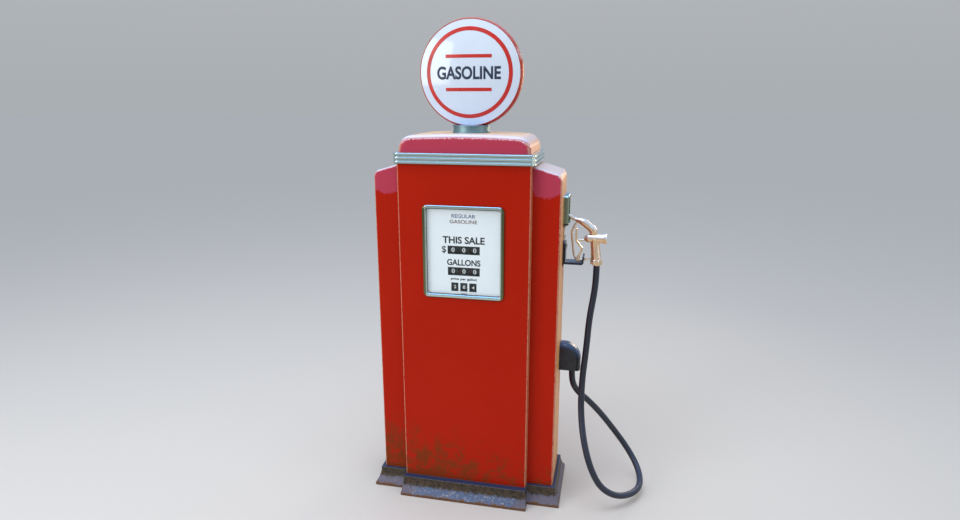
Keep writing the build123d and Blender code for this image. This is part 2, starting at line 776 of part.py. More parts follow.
for place, place_name in enumerate(("dimes", "cents", "tenths")):
    with BuildPart() as price_wheel:
        number_wheel((place - 1) * price_wheel_pitch, price_wheel_y, price_row_z,
                     price_wheel_radius, price_wheel_width)
    save(price_wheel, f"price_wheel_{place_name}")

tube_y = -118.0
tube_z = 1158.0
tube_radius = 12.0
tube_half_length = 100.0
tube_cap_length = 12.0
tube_cap_x = tube_half_length + tube_cap_length / 2

with BuildPart() as dial_lamp:
    rod(0, tube_y, tube_z, tube_radius, 2 * tube_half_length, "X")
    for side in (-1, 1):
        rod(side * tube_cap_x, tube_y, tube_z, tube_radius + 1.5, tube_cap_length, "X")
        bar(side * tube_cap_x - 5, side * tube_cap_x + 5, tube_y + 5, tube_y + 9, tube_z - 8,
            top_shelf_z - shelf_gauge)
save(dial_lamp, "dial_lamp")

# ---------------------------------------------------------------- pumping gear
motor_x, motor_z = motor_centre
pump_x, pump_z = pump_centre
boss_front_y = -84.0
boss_length = 24.0
motor_radius = 72.0
motor_length = 150.0
motor_middle_y = 10.0
motor_boss_radius = 22.0
motor_feet_y = (-35.0, 55.0)
motor_foot_half_width = 62.0
motor_web_half_width = 30.0
terminal_box_height = 95.0
fin_count = 12
fin_length = 110.0

with BuildPart() as motor:
    rod(motor_x, motor_middle_y, motor_z, motor_radius, motor_length, "Y")
    fillet(motor.edges().filter_by(GeomType.CIRCLE), 10)
    rod(motor_x, boss_front_y + boss_length / 2, motor_z, motor_boss_radius, boss_length, "Y")
    for foot_y in motor_feet_y:
        bar(motor_x - motor_foot_half_width, motor_x + motor_foot_half_width, foot_y - 12, foot_y + 12,
            deck_z, deck_z + 12)
        bar(motor_x - motor_web_half_width, motor_x + motor_web_half_width, foot_y - 8, foot_y + 8,
            deck_z, motor_z - 40)
    bar(motor_x - motor_web_half_width, motor_x + motor_web_half_width, motor_middle_y - 30,
        motor_middle_y + 30, motor_z + 60, motor_z + terminal_box_height)
    for fin in range(fin_count):
        turn = 360 * (fin + 0.5) / fin_count
        out = motor_radius + 1
        with Locations(Location((motor_x + out * cos(radians(turn)), motor_middle_y,
                                 motor_z + out * sin(radians(turn))), (0, -turn, 0))):
            Box(8, fin_length, 4)
save(motor, "motor")

belt_middle_y = pulley_front_y + pulley_width / 2
groove_mouth_half_width = 7.5
groove_floor_half_width = 5.2
pulley_hole_circle = 46.0
pulley_hole_radius = 15.0


def pulley(x, z, radius, hub_radius):
    """A V-grooved wheel on a stub of shaft, facing the front of the cabinet."""
    floor_radius = radius - belt_thickness - 1
    rod(x, belt_middle_y, z, radius, pulley_width, "Y")
    with BuildSketch(Plane(origin=(x, 0, z), x_dir=(0, 1, 0), z_dir=(1, 0, 0))) as groove:
        with BuildLine():
            Polyline(
                (belt_middle_y - groove_mouth_half_width, radius + 1),
                (belt_middle_y - groove_floor_half_width, floor_radius),
                (belt_middle_y + groove_floor_half_width, floor_radius),
                (belt_middle_y + groove_mouth_half_width, radius + 1),
                close=True,
            )
        make_face()
    revolve(groove.sketch, axis=Axis((x, 0, z), (0, 1, 0)), mode=Mode.SUBTRACT)
    rod(x, belt_middle_y, z, hub_radius, pulley_width + 2, "Y")
    rod(x, pulley_front_y - 3, z, 9, 8, "Y")


with BuildPart() as motor_pulley:
    pulley(motor_x, motor_z, motor_pulley_radius, 12)
save(motor_pulley, "motor_pulley")

with BuildPart() as pump_pulley:
    pulley(pump_x, pump_z, pump_pulley_radius, 16)
    with Locations(Plane(origin=(pump_x, pulley_front_y, pump_z), x_dir=(1, 0, 0), z_dir=(0, -1, 0))):
        with PolarLocations(pulley_hole_circle, 5):
            Cylinder(pulley_hole_radius, 3 * pulley_width, mode=Mode.SUBTRACT)
save(pump_pulley, "pump_pulley")


def belt_loop(grow, mode):
    """The stretch of plane that an open belt round both pulleys encloses, made solid."""
    small = motor_pulley_radius - belt_thickness + grow
    large = pump_pulley_radius - belt_thickness + grow
    apart_x = pump_x - motor_x
    apart_z = pump_z - motor_z
    apart = (apart_x**2 + apart_z**2) ** 0.5
    along = atan2(apart_z, apart_x)
    spread = pi / 2 + atan2(large - small, (apart**2 - (large - small) ** 2) ** 0.5)
    points = []
    for x, z, radius, signs in ((motor_x, motor_z, small, (1, -1)), (pump_x, pump_z, large, (-1, 1))):
        for sign in signs:
            angle = along + sign * spread
            points.append((x + radius * cos(angle), z + radius * sin(angle)))
    back_of_motor = (motor_x - small * cos(along), motor_z - small * sin(along))
    back_of_pump = (pump_x + large * cos(along), pump_z + large * sin(along))
    with BuildSketch(Plane.XZ.offset(-(belt_middle_y - belt_width / 2))) as loop:
        with BuildLine():
            ThreePointArc(points[0], back_of_motor, points[1])
            Line(points[1], points[2])
            ThreePointArc(points[2], back_of_pump, points[3])
            Line(points[3], points[0])
        make_face()
    extrude(loop.sketch, amount=-belt_width, mode=mode)


with BuildPart() as drive_belt:
    belt_loop(belt_thickness, Mode.ADD)
    belt_loop(0.0, Mode.SUBTRACT)
save(drive_belt, "drive_belt")

pump_radius = 62.0
pump_front_y = -65.0
pump_length = 120.0
pump_outlet_top_z = 298.0
suction_top_z = 140.0


def upright(x, y, z0, z1, radius, mode=Mode.ADD):
    """A round bar standing between two heights."""
    rod(x, y, (z0 + z1) / 2, radius, z1 - z0, mode=mode)


with BuildPart() as pump_unit:
    rod(pump_x, pump_front_y + pump_length / 2, pump_z, pump_radius, pump_length, "Y")
    fillet(pump_unit.edges().filter_by(GeomType.CIRCLE), 6)
    # the shaft's boss, the foot and its web
    rod(pump_x, boss_front_y + boss_length / 2, pump_z, 26, boss_length, "Y")
    bar(pump_x - 55, pump_x + 55, -50, 30, deck_z, deck_z + 14)
    bar(pump_x - 38, pump_x + 38, -42, 32, deck_z, pump_z - 30)
    # the strainer over the suction pipe, its neck, the bypass block and the outlet
    upright(pump_x, suction_y, suction_top_z, 200, 32)
    rod(pump_x, 40, 175, 24, 40, "Y")
    bar(pump_x - 60, pump_x - 15, -30, 10, pump_z, pump_z + 56)
    upright(separator_x, separator_y, 272, pump_outlet_top_z, 15)
save(pump_unit, "pump_unit")

separator_radius = 54.0
separator_low_z = 306.0
separator_high_z = 464.0
separator_top_z = 477.0

with BuildPart() as air_separator:
    upright(separator_x, separator_y, separator_low_z, separator_high_z, separator_radius)
    fillet(air_separator.edges().filter_by(GeomType.CIRCLE), 14)
    upright(separator_x, separator_y, pump_outlet_top_z, separator_low_z + 4, 22)
    upright(separator_x, separator_y, separator_high_z - 1, separator_top_z, 26)
save(air_separator, "air_separator")

meter_mid_z = 500.0
meter_body_radius = 56.0
meter_body_top_z = 560.0
meter_arm_radius = 30.0
meter_arm_reach = 84.0
meter_gland_top_z = 576.0
meter_bore_foot_z = 550.0
meter_journal_radius = 6.0

with BuildPart() as meter:
    upright(meter_x, meter_y, meter_shelf_z, meter_body_top_z, meter_body_radius)
    fillet(meter.edges().filter_by(GeomType.CIRCLE), 6)
    # four opposed cylinders, each with a wider flange behind its end
    for axis in ("X", "Y"):
        rod(meter_x, meter_y, meter_mid_z, meter_arm_radius, 2 * meter_arm_reach, axis)
        rod(meter_x, meter_y, meter_mid_z, meter_arm_radius + 6, 2 * (meter_arm_reach - 9), axis)
    upright(meter_x, meter_y, meter_body_top_z - 4, meter_gland_top_z, 34)
    upright(meter_x, meter_y, meter_bore_foot_z, meter_gland_top_z + 14,
            meter_journal_radius + running_clearance, Mode.SUBTRACT)
save(meter, "meter")

shaft_foot_z = meter_bore_foot_z + 2
coupling_low_z = 834.0
gear_low_z = 855.0
gear_high_z = 869.0

with BuildPart() as meter_shaft:
    upright(meter_x, meter_y, shaft_foot_z + 18, gear_low_z - 15, 5)
    upright(meter_x, meter_y, shaft_foot_z, shaft_foot_z + 26, meter_journal_radius)
    upright(meter_x, meter_y, coupling_low_z, gear_low_z + 1, 8)
    upright(meter_x, meter_y, gear_low_z, gear_high_z, 20)
save(meter_shaft, "meter_shaft")

inlet_depth = 60.0

with BuildPart() as suction_pipe:
    upright(suction_x, suction_y, 2, suction_top_z, suction_outer_radius)
    upright(suction_x, suction_y, 0, inlet_depth, suction_inner_radius, Mode.SUBTRACT)
save(suction_pipe, "suction_pipe")

with BuildPart() as discharge_pipe:
    pipe_along([(meter_x + meter_arm_reach, meter_y, meter_mid_z), (195, meter_y, meter_mid_z),
                (240, outlet_y, meter_mid_z), (270, outlet_y, outlet_z), (325, outlet_y, outlet_z)],
               13, 20)
    pipe_along([(separator_x, separator_y, separator_top_z), (separator_x, separator_y, meter_mid_z),
                (separator_x + 30, meter_y, meter_mid_z),
                (meter_x - meter_arm_reach, meter_y, meter_mid_z)], 11, 10)
save(discharge_pipe, "discharge_pipe")

box_low_z = 300.0
box_high_z = 410.0
box_back_x = -342.0
box_front_x = -288.0
box_half_depth = 45.0

with BuildPart() as junction_box:
    bar(box_back_x, box_front_x, -box_half_depth, box_half_depth, box_low_z, box_high_z)
    fillet(junction_box.edges().filter_by(Axis.X), 8)
    bar(box_front_x, box_front_x + 3, -box_half_depth + 7, box_half_depth - 7, box_low_z + 8, box_high_z - 8)
save(junction_box, "junction_box")

with BuildPart() as conduit:
    upright(conduit_x, 0, 2, box_low_z, conduit_outer_radius)
    upright(conduit_x, 0, box_low_z - 25, box_low_z - 13, conduit_outer_radius + 5)
    upright(conduit_x, 0, 0, inlet_depth, conduit_inner_radius, Mode.SUBTRACT)
save(conduit, "conduit")

# ---------------------------------------------------------------- side fittings
flange_half_width = 47.0
flange_low_z = 1112.0
flange_high_z = 1228.0
flange_proud = 18.5
pocket_back_x = 302.0
pocket_wall = 3.0

with BuildPart() as nozzle_receptacle:
    bar(wing_side_x, wing_side_x + flange_proud, side_y - flange_half_width, side_y + flange_half_width,
        flange_low_z, flange_high_z)
    fillet(nozzle_receptacle.edges().filter_by(Axis.X), 12)
    fillet(nozzle_receptacle.faces().sort_by(Axis.X)[-1].edges(), 5)
    bar(pocket_back_x, wing_side_x, side_y - pocket_half_width + 0.5, side_y + pocket_half_width - 0.5,
        pocket_low_z + 0.5, pocket_high_z - 0.5)
    bar(pocket_back_x + pocket_wall, wing_side_x + flange_proud + 1,
        side_y - pocket_half_width + 0.5 + pocket_wall, side_y + pocket_half_width - 0.5 - pocket_wall,
        pocket_low_z + 0.5 + pocket_wall, pocket_high_z - 0.5 - pocket_wall, Mode.SUBTRACT)
    bar(wing_side_x + flange_proud - 2, wing_side_x + flange_proud + 5, side_y - 20, side_y + 20,
        pocket_low_z, pocket_low_z + 12)
save(nozzle_receptacle, "nozzle_receptacle")

fitting_half_width = 28.0
wear_plate_low_z = 1052.0
wear_plate_high_z = 1110.0

with BuildPart() as wear_plate:
    bar(wing_side_x, wing_side_x + 3.5, side_y - fitting_half_width, side_y + fitting_half_width,
        wear_plate_low_z, wear_plate_high_z)
    fillet(wear_plate.edges().filter_by(Axis.X), 5)
save(wear_plate, "wear_plate")

plate_proud = 3.9
leg_front_x = 364.0
tray_end_x = 436.0
tray_top_z = 967.0
tray_low_z = 958.5
lip_top_z = 993.0
leg_top_z = 1044.0
hook_plate_low_z = 950.0
hook_plate_high_z = 1050.0
stud_z = 1022.0
stud_spread = 17.0
stud_radius = 3.5

with BuildPart() as hook_plate:
    bar(wing_side_x, wing_side_x + plate_proud, side_y - fitting_half_width - 2,
        side_y + fitting_half_width + 2, hook_plate_low_z, hook_plate_high_z)
    fillet(hook_plate.edges().filter_by(Axis.X), 6)
    hook_rod_slot()
save(hook_plate, "hook_plate")

leg_back_x = wing_side_x + plate_proud + 0.3
hook_rod_end_x = 322.0

with BuildPart() as hook:
    slab(
        Plane.XZ.offset(-(side_y - fitting_half_width)),
        [(leg_back_x, tray_low_z), (tray_end_x - 8, tray_low_z), (tray_end_x - 2, tray_low_z + 6),
         (tray_end_x, lip_top_z), (tray_end_x - 6, lip_top_z), (tray_end_x - 9, tray_top_z),
         (leg_front_x, tray_top_z), (leg_front_x, leg_top_z), (leg_back_x, leg_top_z)],
        -2 * fitting_half_width,
    )
    fillet(hook.edges().filter_by(Axis.X).group_by(Axis.Z)[-1], 5)
    bar(tray_end_x - 12, tray_end_x + 1, side_y - 9, side_y + 9, tray_top_z + 0.3, lip_top_z + 1,
        Mode.SUBTRACT)
    for side in (-1, 1):
        slot_radius = stud_radius + 0.3
        low_z = stud_z - hook_travel - 0.3
        bar(leg_back_x - 1, leg_front_x + 1, side_y + side * stud_spread - slot_radius,
            side_y + side * stud_spread + slot_radius, low_z, stud_z, Mode.SUBTRACT)
        for end_z in (low_z, stud_z):
            rod(leg_front_x, side_y + side * stud_spread, end_z, slot_radius, 30, "X", Mode.SUBTRACT)
    rod((leg_back_x + hook_rod_end_x) / 2, side_y, hook_rod_z, 5, leg_back_x - hook_rod_end_x, "X")
    bar(hook_rod_end_x, hook_rod_end_x + 4, side_y - 12, side_y + 12, hook_rod_z - 10, hook_rod_z + 10)
save(hook, "hook")

hood_y0 = 24.0
hood_y1 = 84.0
hood_top_z = 626.0
hood_low_z = 516.0
hood_out_x = 438.0
hood_wall = 3.0
hood_edge_radius = 20.0
hood_nose_z = 560.0


def hood_outline(inset, foot):
    """The hood seen from the front: a nearly level top at the casing that rounds over to an upright nose."""
    with BuildLine() as edge:
        TangentArc((hood_out_x - inset, hood_nose_z), (wing_side_x, hood_top_z - inset), tangent=(0, 1))
        Polyline((wing_side_x, hood_top_z - inset), (wing_side_x, foot), (hood_out_x - inset, foot),
                 (hood_out_x - inset, hood_nose_z))
    make_face(edge.edges())


def hood_block(inset, foot):
    """The hood's outline made solid, its front and back rolled over like a loaf."""
    with BuildPart(mode=Mode.PRIVATE) as block:
        with BuildSketch(Plane.XZ.offset(-hood_y0 - inset)):
            hood_outline(inset, foot)
        extrude(amount=-(hood_y1 - hood_y0 - 2 * inset))
        rolled = [
            e for f in block.faces().filter_by(Axis.Y) for e in f.edges()
            if e.center().X > wing_side_x + 1 and e.center().Z > hood_low_z + 1
        ]
        fillet(rolled, hood_edge_radius - inset)
    return block.part


with BuildPart() as hose_hood:
    add(hood_block(0.0, hood_low_z))
    add(hood_block(hood_wall, hood_low_z - 1), mode=Mode.SUBTRACT)
save(hose_hood, "hose_hood")

gland_x, gland_y, _ = hose_route[0]

with BuildPart() as outlet_elbow:
    pipe_along([(325, outlet_y, outlet_z), (gland_x, outlet_y, outlet_z), (gland_x, outlet_y, 536)],
               outlet_radius, 22)
    with BuildSketch(Plane.XY.offset(hose_gland_z + 8)):
        with Locations((gland_x, gland_y)):
            RegularPolygon(20, 6)
    extrude(amount=20)
    rod(gland_x, gland_y, hose_gland_z + 5, 15.5, 10)
save(outlet_elbow, "outlet_elbow")

hose_radii = route_radii(hose_route)
with BuildPart() as hose:
    pipe_along(hose_route, hose_radius, hose_radii)
save(hose, "hose")

swivel_x, _, swivel_z = hose_route[-1]

with BuildPart() as nozzle_body:
    with BuildSketch(Plane.XZ.offset(-side_y)):
        with BuildLine():
            Polyline((431, valve_z), (518, valve_z), (518, valve_z + 18.5))
            ThreePointArc((518, valve_z + 18.5), (517.4, valve_z + 19.9), (516, valve_z + 20.5))
            Polyline((516, valve_z + 20.5), (509, valve_z + 20.5), (507, valve_z + 18.5),
                     (452, valve_z + 17.2))
            ThreePointArc((452, valve_z + 17.2), (437, valve_z + 12.5), (431, valve_z))
        make_face()
    revolve(axis=Axis((431, side_y, valve_z), (1, 0, 0)))
    for level, middle_x, radius in ((valve_z, 472.0, 19.5), (1030.0, 475.0, 18.0), (1002.0, 478.5, 19.3),
                                    (978.0, 481.5, 20.0)):
        with BuildSketch(Plane.XY.offset(level)):
            with Locations((middle_x, side_y)):
                Circle(radius)
    loft()
    rod(431, side_y, valve_z - 8, 4.6, 50, "X", Mode.SUBTRACT)
save(nozzle_body, "nozzle_body")

with BuildPart() as hose_swivel:
    with BuildSketch(Plane.XY.offset(swivel_z + 4)):
        with Locations((swivel_x - 2, side_y)):
            RegularPolygon(23, 6)
    extrude(amount=978 - swivel_z - 4)
    chamfer(hose_swivel.faces().sort_by(Axis.Z)[-1].edges(), 1.5)
    rod(swivel_x, side_y, swivel_z + 2, 15.5, 4)
save(hose_swivel, "hose_swivel")

# each station: the middle of the tube in X and Z, the way it heads in degrees, its radius
spout_stations = [
    ((471.0, 1066.0), 100.0, 15.5),
    ((466.0, 1086.0), 122.0, 15.3),
    ((453.0, 1102.5), 136.0, 15.2),
    ((436.0, 1115.5), 143.0, 15.0),
    ((420.0, 1125.5), 150.0, 13.4),
    ((405.0, 1130.0), 157.0, 8.8),
    ((391.0, 1134.5), 154.0, 6.8),
    ((366.0, 1146.5), 152.0, 5.9),
    ((346.0, 1157.0), 152.0, 5.6),
]

with BuildPart() as nozzle_spout:
    for (x, z), heading, radius in spout_stations:
        direction = (cos(radians(heading)), 0, sin(radians(heading)))
        with BuildSketch(Plane(origin=(x, side_y, z), x_dir=(0, 1, 0), z_dir=direction)):
            Circle(radius)
    loft()
save(nozzle_spout, "nozzle_spout")

guard_radius = 4.0
pivot_x, pivot_z = lever_pivot
lever_pin_radius = 3.0

with BuildPart() as nozzle_guard:
    pipe_along(
        [(430, side_y, 1130), (400, side_y, 1119), (383, side_y, 1085), (395, side_y, 990),
         (404, side_y, 973.5), (432, side_y, 973.5), (464, side_y, 984)],
        guard_radius, [16, 20, 60, 8, 30],
    )
    bar(pivot_x - 7, pivot_x + 7, side_y - 8.5, side_y + 8.5, 967.4, 976)
    for side in (-1, 1):
        ear_y = side_y + side * 7
        bar(pivot_x - 5, pivot_x + 5, ear_y - 1.5, ear_y + 1.5, 970, pivot_z)
        rod(pivot_x, ear_y, pivot_z, 5.5, 3, "Y")
    rod(pivot_x, side_y, pivot_z, lever_pin_radius, 18, "Y")
save(nozzle_guard, "nozzle_guard")

lever_half_width = 4.8
lever_outline_right = [(415.5, 984), (428, 1009), (428, 1022), (406, 1049), (404.8, 1056), (404.8, 1095)]

with BuildPart() as nozzle_lever:
    slab(
        Plane.XZ.offset(-(side_y - lever_half_width)),
        lever_outline_right
        + [(402, 1099.5), (398, 1098.5), (397.6, 1056), (399.5, 1046), (420.5, 1019.5), (420.5, 1011),
           (407.5, 984)],
        -2 * lever_half_width,
    )
    rod(pivot_x, side_y, pivot_z, 6.5, 2 * lever_half_width, "Y")
    fillet(nozzle_lever.edges().filter_by(Axis.Y).group_by(Axis.Z)[-1], 1.2)
    rod(pivot_x, side_y, pivot_z, lever_pin_radius + running_clearance, 40, "Y", Mode.SUBTRACT)
save(nozzle_lever, "nozzle_lever")

stem_radius = 4.0
stem_tip_x = 406.4

with BuildPart() as valve_stem:
    rod((stem_tip_x + stem_radius + 436) / 2, side_y, valve_z - 8, stem_radius,
        436 - stem_tip_x - stem_radius, "X")
    with Locations((stem_tip_x + stem_radius, side_y, valve_z - 8)):
        Sphere(stem_radius)
save(valve_stem, "valve_stem")

screw_head_radius = 4.5

with BuildPart() as side_screws:
    for side in (-1, 1):
        screw_y = side_y + side * stud_spread
        rod((wing_side_x + plate_proud + leg_front_x + 0.6) / 2, screw_y, stud_z, stud_radius,
            leg_front_x + 0.6 - wing_side_x - plate_proud, "X")
        rod(leg_front_x + 2.3, screw_y, stud_z, 6.5, 3.4, "X")
        for screw_z in (wear_plate_low_z + 8, wear_plate_high_z - 8):
            rod(wing_side_x + 4.9, screw_y, screw_z, screw_head_radius, 2.8, "X")
        for screw_z in (flange_low_z + 8, flange_high_z - 8):
            rod(wing_side_x + flange_proud + 1, side_y + side * (flange_half_width - 8), screw_z,
                screw_head_radius, 2, "X")
save(side_screws, "side_screws")

# ---------------------------------------------------------------- the hose, compared with its route
hose_runs = [(Vector(*b) - Vector(*a)).length for a, b in zip(hose_route, hose_route[1:])]
hose_turns = [
    radians((Vector(*b) - Vector(*a)).get_angle(Vector(*c) - Vector(*b)))
    for a, b, c in zip(hose_route, hose_route[1:], hose_route[2:])
]
cut_corners = [2 * r * tan(t / 2) - r * t for r, t in zip(hose_radii, hose_turns)]
hose_length = sum(hose_runs) - sum(cut_corners)
print("hose runs", [round(run) for run in hose_runs])
print("hose radii", [round(radius) for radius in hose_radii])
print(f"hose length {hose_length:.0f}, volume over section times length "
      f"{hose.part.volume / (pi * hose_radius**2 * hose_length):.4f}")
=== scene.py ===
"""Looks for the computing gas pump: enamel, plated metal, printed dial, number drums, globe and hose.

Metres, in the model's own frame: +Z up, the dial faces -Y, the nozzle hangs on the +X side.
"""
from math import asin, cos, pi, radians, sin, sqrt

import bpy
import bmesh
from mathutils import Matrix, Vector


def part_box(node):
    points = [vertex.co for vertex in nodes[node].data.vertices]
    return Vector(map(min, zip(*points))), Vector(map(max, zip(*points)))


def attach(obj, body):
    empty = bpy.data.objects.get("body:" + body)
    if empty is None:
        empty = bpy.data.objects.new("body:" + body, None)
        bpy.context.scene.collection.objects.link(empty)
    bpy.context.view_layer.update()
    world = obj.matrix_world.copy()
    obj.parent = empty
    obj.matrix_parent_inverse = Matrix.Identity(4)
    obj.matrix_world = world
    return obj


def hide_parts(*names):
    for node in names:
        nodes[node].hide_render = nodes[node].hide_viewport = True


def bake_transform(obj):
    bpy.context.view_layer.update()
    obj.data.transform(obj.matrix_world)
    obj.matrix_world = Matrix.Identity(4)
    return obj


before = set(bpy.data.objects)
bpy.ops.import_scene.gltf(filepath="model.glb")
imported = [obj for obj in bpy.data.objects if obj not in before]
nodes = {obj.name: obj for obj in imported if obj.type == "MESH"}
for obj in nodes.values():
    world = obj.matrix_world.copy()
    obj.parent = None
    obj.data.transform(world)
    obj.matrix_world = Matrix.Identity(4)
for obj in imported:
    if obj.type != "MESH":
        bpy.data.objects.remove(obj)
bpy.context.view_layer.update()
collection = bpy.context.scene.collection

# ---------------------------------------------------------------- sizes that the model gives
lens_low, lens_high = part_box("globe_lens_front")
face_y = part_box("dial_face")[0][1]
globe_z = (lens_low[2] + lens_high[2]) / 2
plinth_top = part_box("base_plinth")[1][2]
wing_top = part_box("left_wing")[1][2]
wing_middle = (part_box("right_wing")[1][0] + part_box("front_panel")[1][0]) / 2
bezel_end_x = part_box("dial_bezel")[1][0]
cap_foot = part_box("top_cap")[0][2]

# the dial's counting drums, and its price wheels with the figure that each shows
number_drums = [f"sale_drum_{place}" for place in ("dollars", "dimes", "cents")]
number_drums += [f"gallons_drum_{place}" for place in ("tens", "units", "tenths")]
price_figures = {"price_wheel_dimes": 2, "price_wheel_cents": 8, "price_wheel_tenths": 4}


def drum_shape(name):
    """The centre and the radius of a number drum or a price wheel."""
    low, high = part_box(name)
    middle = [(low[i] + high[i]) / 2 for i in range(3)]
    return middle, (high[2] - low[2]) / 2


# ---------------------------------------------------------------- shader nodes
edge_radius = 0.0012
wear_radius = 0.0022
bevel_samples = 4


def shader_of(material):
    return material.node_tree.nodes["Principled BSDF"]


def set_input(tree, socket, value):
    """Links another node's output to a socket, or sets the number or colour on it."""
    if isinstance(value, bpy.types.NodeSocket):
        tree.links.new(value, socket)
    else:
        socket.default_value = value


def new_node(owner, kind, **inputs):
    """A node of a material or a world, with its inputs set by name."""
    made = owner.node_tree.nodes.new("ShaderNode" + kind)
    for name, value in inputs.items():
        set_input(owner.node_tree, made.inputs[name.replace("_", " ")], value)
    return made


def connect(material, socket, value):
    material.node_tree.links.new(value, shader_of(material).inputs[socket])


def new_material(name, colour, roughness=0.4, metallic=0.0, **sockets):
    """A Principled material whose even values sit on the shader's own sockets."""
    material = bpy.data.materials.new(name)
    material.use_nodes = True
    shader = shader_of(material)
    shader.inputs["Base Color"].default_value = (*colour, 1.0)
    shader.inputs["Roughness"].default_value = roughness
    shader.inputs["Metallic"].default_value = metallic
    for socket, value in sockets.items():
        shader.inputs[socket.replace("_", " ")].default_value = value
    return material


def coordinates(material):
    """The object's own coordinates: every pattern is fixed to the piece, not to the view."""
    return new_node(material, "TexCoord").outputs["Object"]


def noise(material, size, detail=6.0, rough=0.6):
    """Cloudy noise whose blotches are about `size` metres across."""
    texture = new_node(material, "TexNoise", Scale=1.0 / size, Detail=detail, Roughness=rough,
                       Vector=coordinates(material))
    return texture.outputs["Fac"]


def ramp(material, value, low, high, reverse=False):
    """Turns a value into 0 to 1 between two levels, softly."""
    start, end = (1.0, 0.0) if reverse else (0.0, 1.0)
    step = new_node(material, "MapRange", Value=value, From_Min=low, From_Max=high, To_Min=start, To_Max=end)
    step.interpolation_type = "SMOOTHSTEP"
    return step.outputs["Result"]


def maths(material, operation, first, second=0.0):
    """One Math node; either side may be a number or a socket."""
    made = new_node(material, "Math")
    made.operation = operation
    for socket, value in zip(made.inputs, (first, second)):
        set_input(material.node_tree, socket, value)
    return made.outputs["Value"]


def plus(material, first, second):
    return maths(material, "ADD", first, second)


def times(material, first, second):
    return maths(material, "MULTIPLY", first, second)


def wander(material, texture, reach):
    """A texture's value, made to run evenly either side of nought over a given reach."""
    return times(material, maths(material, "SUBTRACT", texture, 0.5), reach)


def mixed(material, amount, first, second):
    """A colour between two others; each is a colour or a socket."""
    made = new_node(material, "Mix")
    made.data_type = "RGBA"
    material.node_tree.links.new(amount, made.inputs["Factor"])
    for name, value in (("A", first), ("B", second)):
        socket = [s for s in made.inputs if s.name == name and s.type == "RGBA"][0]
        set_input(material.node_tree, socket, (*value, 1.0) if isinstance(value, tuple) else value)
    return [s for s in made.outputs if s.type == "RGBA"][0]


def axis_value(material, axis):
    """The height, or another coordinate, of the point on the object."""
    return new_node(material, "SeparateXYZ", Vector=coordinates(material)).outputs[axis]


def from_centre(material):
    """How far the point is to either side of the object's middle."""
    return maths(material, "ABSOLUTE", axis_value(material, "X"))


def below(material, low, high):
    """1 under the lower height and 0 over the upper one."""
    return ramp(material, axis_value(material, "Z"), low, high, reverse=True)


def facing(material, axis):
    """How far the surface faces along an axis of the object, from -1 to 1."""
    normal = new_node(material, "TexCoord").outputs["Normal"]
    return new_node(material, "SeparateXYZ", Vector=normal).outputs[axis]


def upward(material):
    return facing(material, "Z")


def bevelled(material, radius):
    """The surface's normal, rounded over its edges."""
    bevel = new_node(material, "Bevel", Radius=radius)
    bevel.samples = bevel_samples
    return bevel.outputs["Normal"]


def rounded_edges(material, radius, relief, strength, distance):
    """Edges catch the light as if broken by a small radius, over a fine relief."""
    bump = new_node(material, "Bump", Strength=strength, Distance=distance, Height=relief,
                    Normal=bevelled(material, radius))
    connect(material, "Normal", bump.outputs["Normal"])


def edge_mask(material):
    """1 on the edges, where a rounded normal turns away from the true one."""
    true_normal = new_node(material, "NewGeometry").outputs["Normal"]
    dot = new_node(material, "VectorMath")
    dot.operation = "DOT_PRODUCT"
    for socket, normal in zip(dot.inputs, (bevelled(material, wear_radius), true_normal)):
        material.node_tree.links.new(normal, socket)
    return ramp(material, maths(material, "SUBTRACT", 1.0, dot.outputs["Value"]), 0.02, 0.25)


def corner_mask(material):
    """1 along the middle of the rounded upright corners, where the surface faces half to the side."""
    product = times(material, facing(material, "X"), facing(material, "Y"))
    return ramp(material, maths(material, "ABSOLUTE", product), 0.30, 0.47)


# ---------------------------------------------------------------- red enamel
chalk_and_sheen_fringe = 0.004
above_everything = 2.5


def chalked(paint, tone, chalk_and_sheen_height, sag):
    """Lavender chalking, partly a painted reflection of the sky, above a ragged line, which hangs lowest at
    a wing's middle.
    """
    chalk_and_sheen_lavender = (0.480, 0.050, 0.094)
    ragged = wander(paint, noise(paint, 0.016, 8.0, 0.75), 0.055)
    off_middle = maths(paint, "SUBTRACT", from_centre(paint), wing_middle)
    drop = times(paint, times(paint, off_middle, off_middle), -sag)
    level = plus(paint, axis_value(paint, "Z"), plus(paint, ragged, drop))
    # lavender above the line: chalking, partly a painted reflection of the sky
    chalk_and_sheen = ramp(paint, level, chalk_and_sheen_height - chalk_and_sheen_fringe, chalk_and_sheen_height + chalk_and_sheen_fringe)
    return mixed(paint, chalk_and_sheen, tone, chalk_and_sheen_lavender)


def grime_patches(paint, speckle):
    """Where grime gathers: in patches near the foot, more of them towards the left."""
    reach = plinth_top + 0.36
    cloud = noise(paint, 0.045, 9.0, 0.74)
    patchy = plus(paint, times(paint, cloud, 0.55), times(paint, speckle, 0.45))
    leftward = times(paint, axis_value(paint, "X"), -0.16)
    near_foot = times(paint, below(paint, plinth_top - 0.05, reach), 0.12)
    likely = plus(paint, plus(paint, patchy, leftward), near_foot)
    return times(paint, ramp(paint, likely, 0.555, 0.650), below(paint, plinth_top + 0.08, reach))


def rust_patches(paint):
    """Where rust creeps up from the plinth."""
    spots = ramp(paint, noise(paint, 0.02, 8.0, 0.8), 0.46, 0.66)
    return times(paint, spots, below(paint, plinth_top, plinth_top + 0.10))


def brow_glints(paint, tops):
    """Broken glints along the brow, where a front rolls over into its top."""
    brow = times(paint, ramp(paint, tops, 0.20, 0.30), ramp(paint, tops, 0.36, 0.48, reverse=True))
    return times(paint, brow, ramp(paint, noise(paint, 0.005, 4.0, 0.8), 0.44, 0.56))


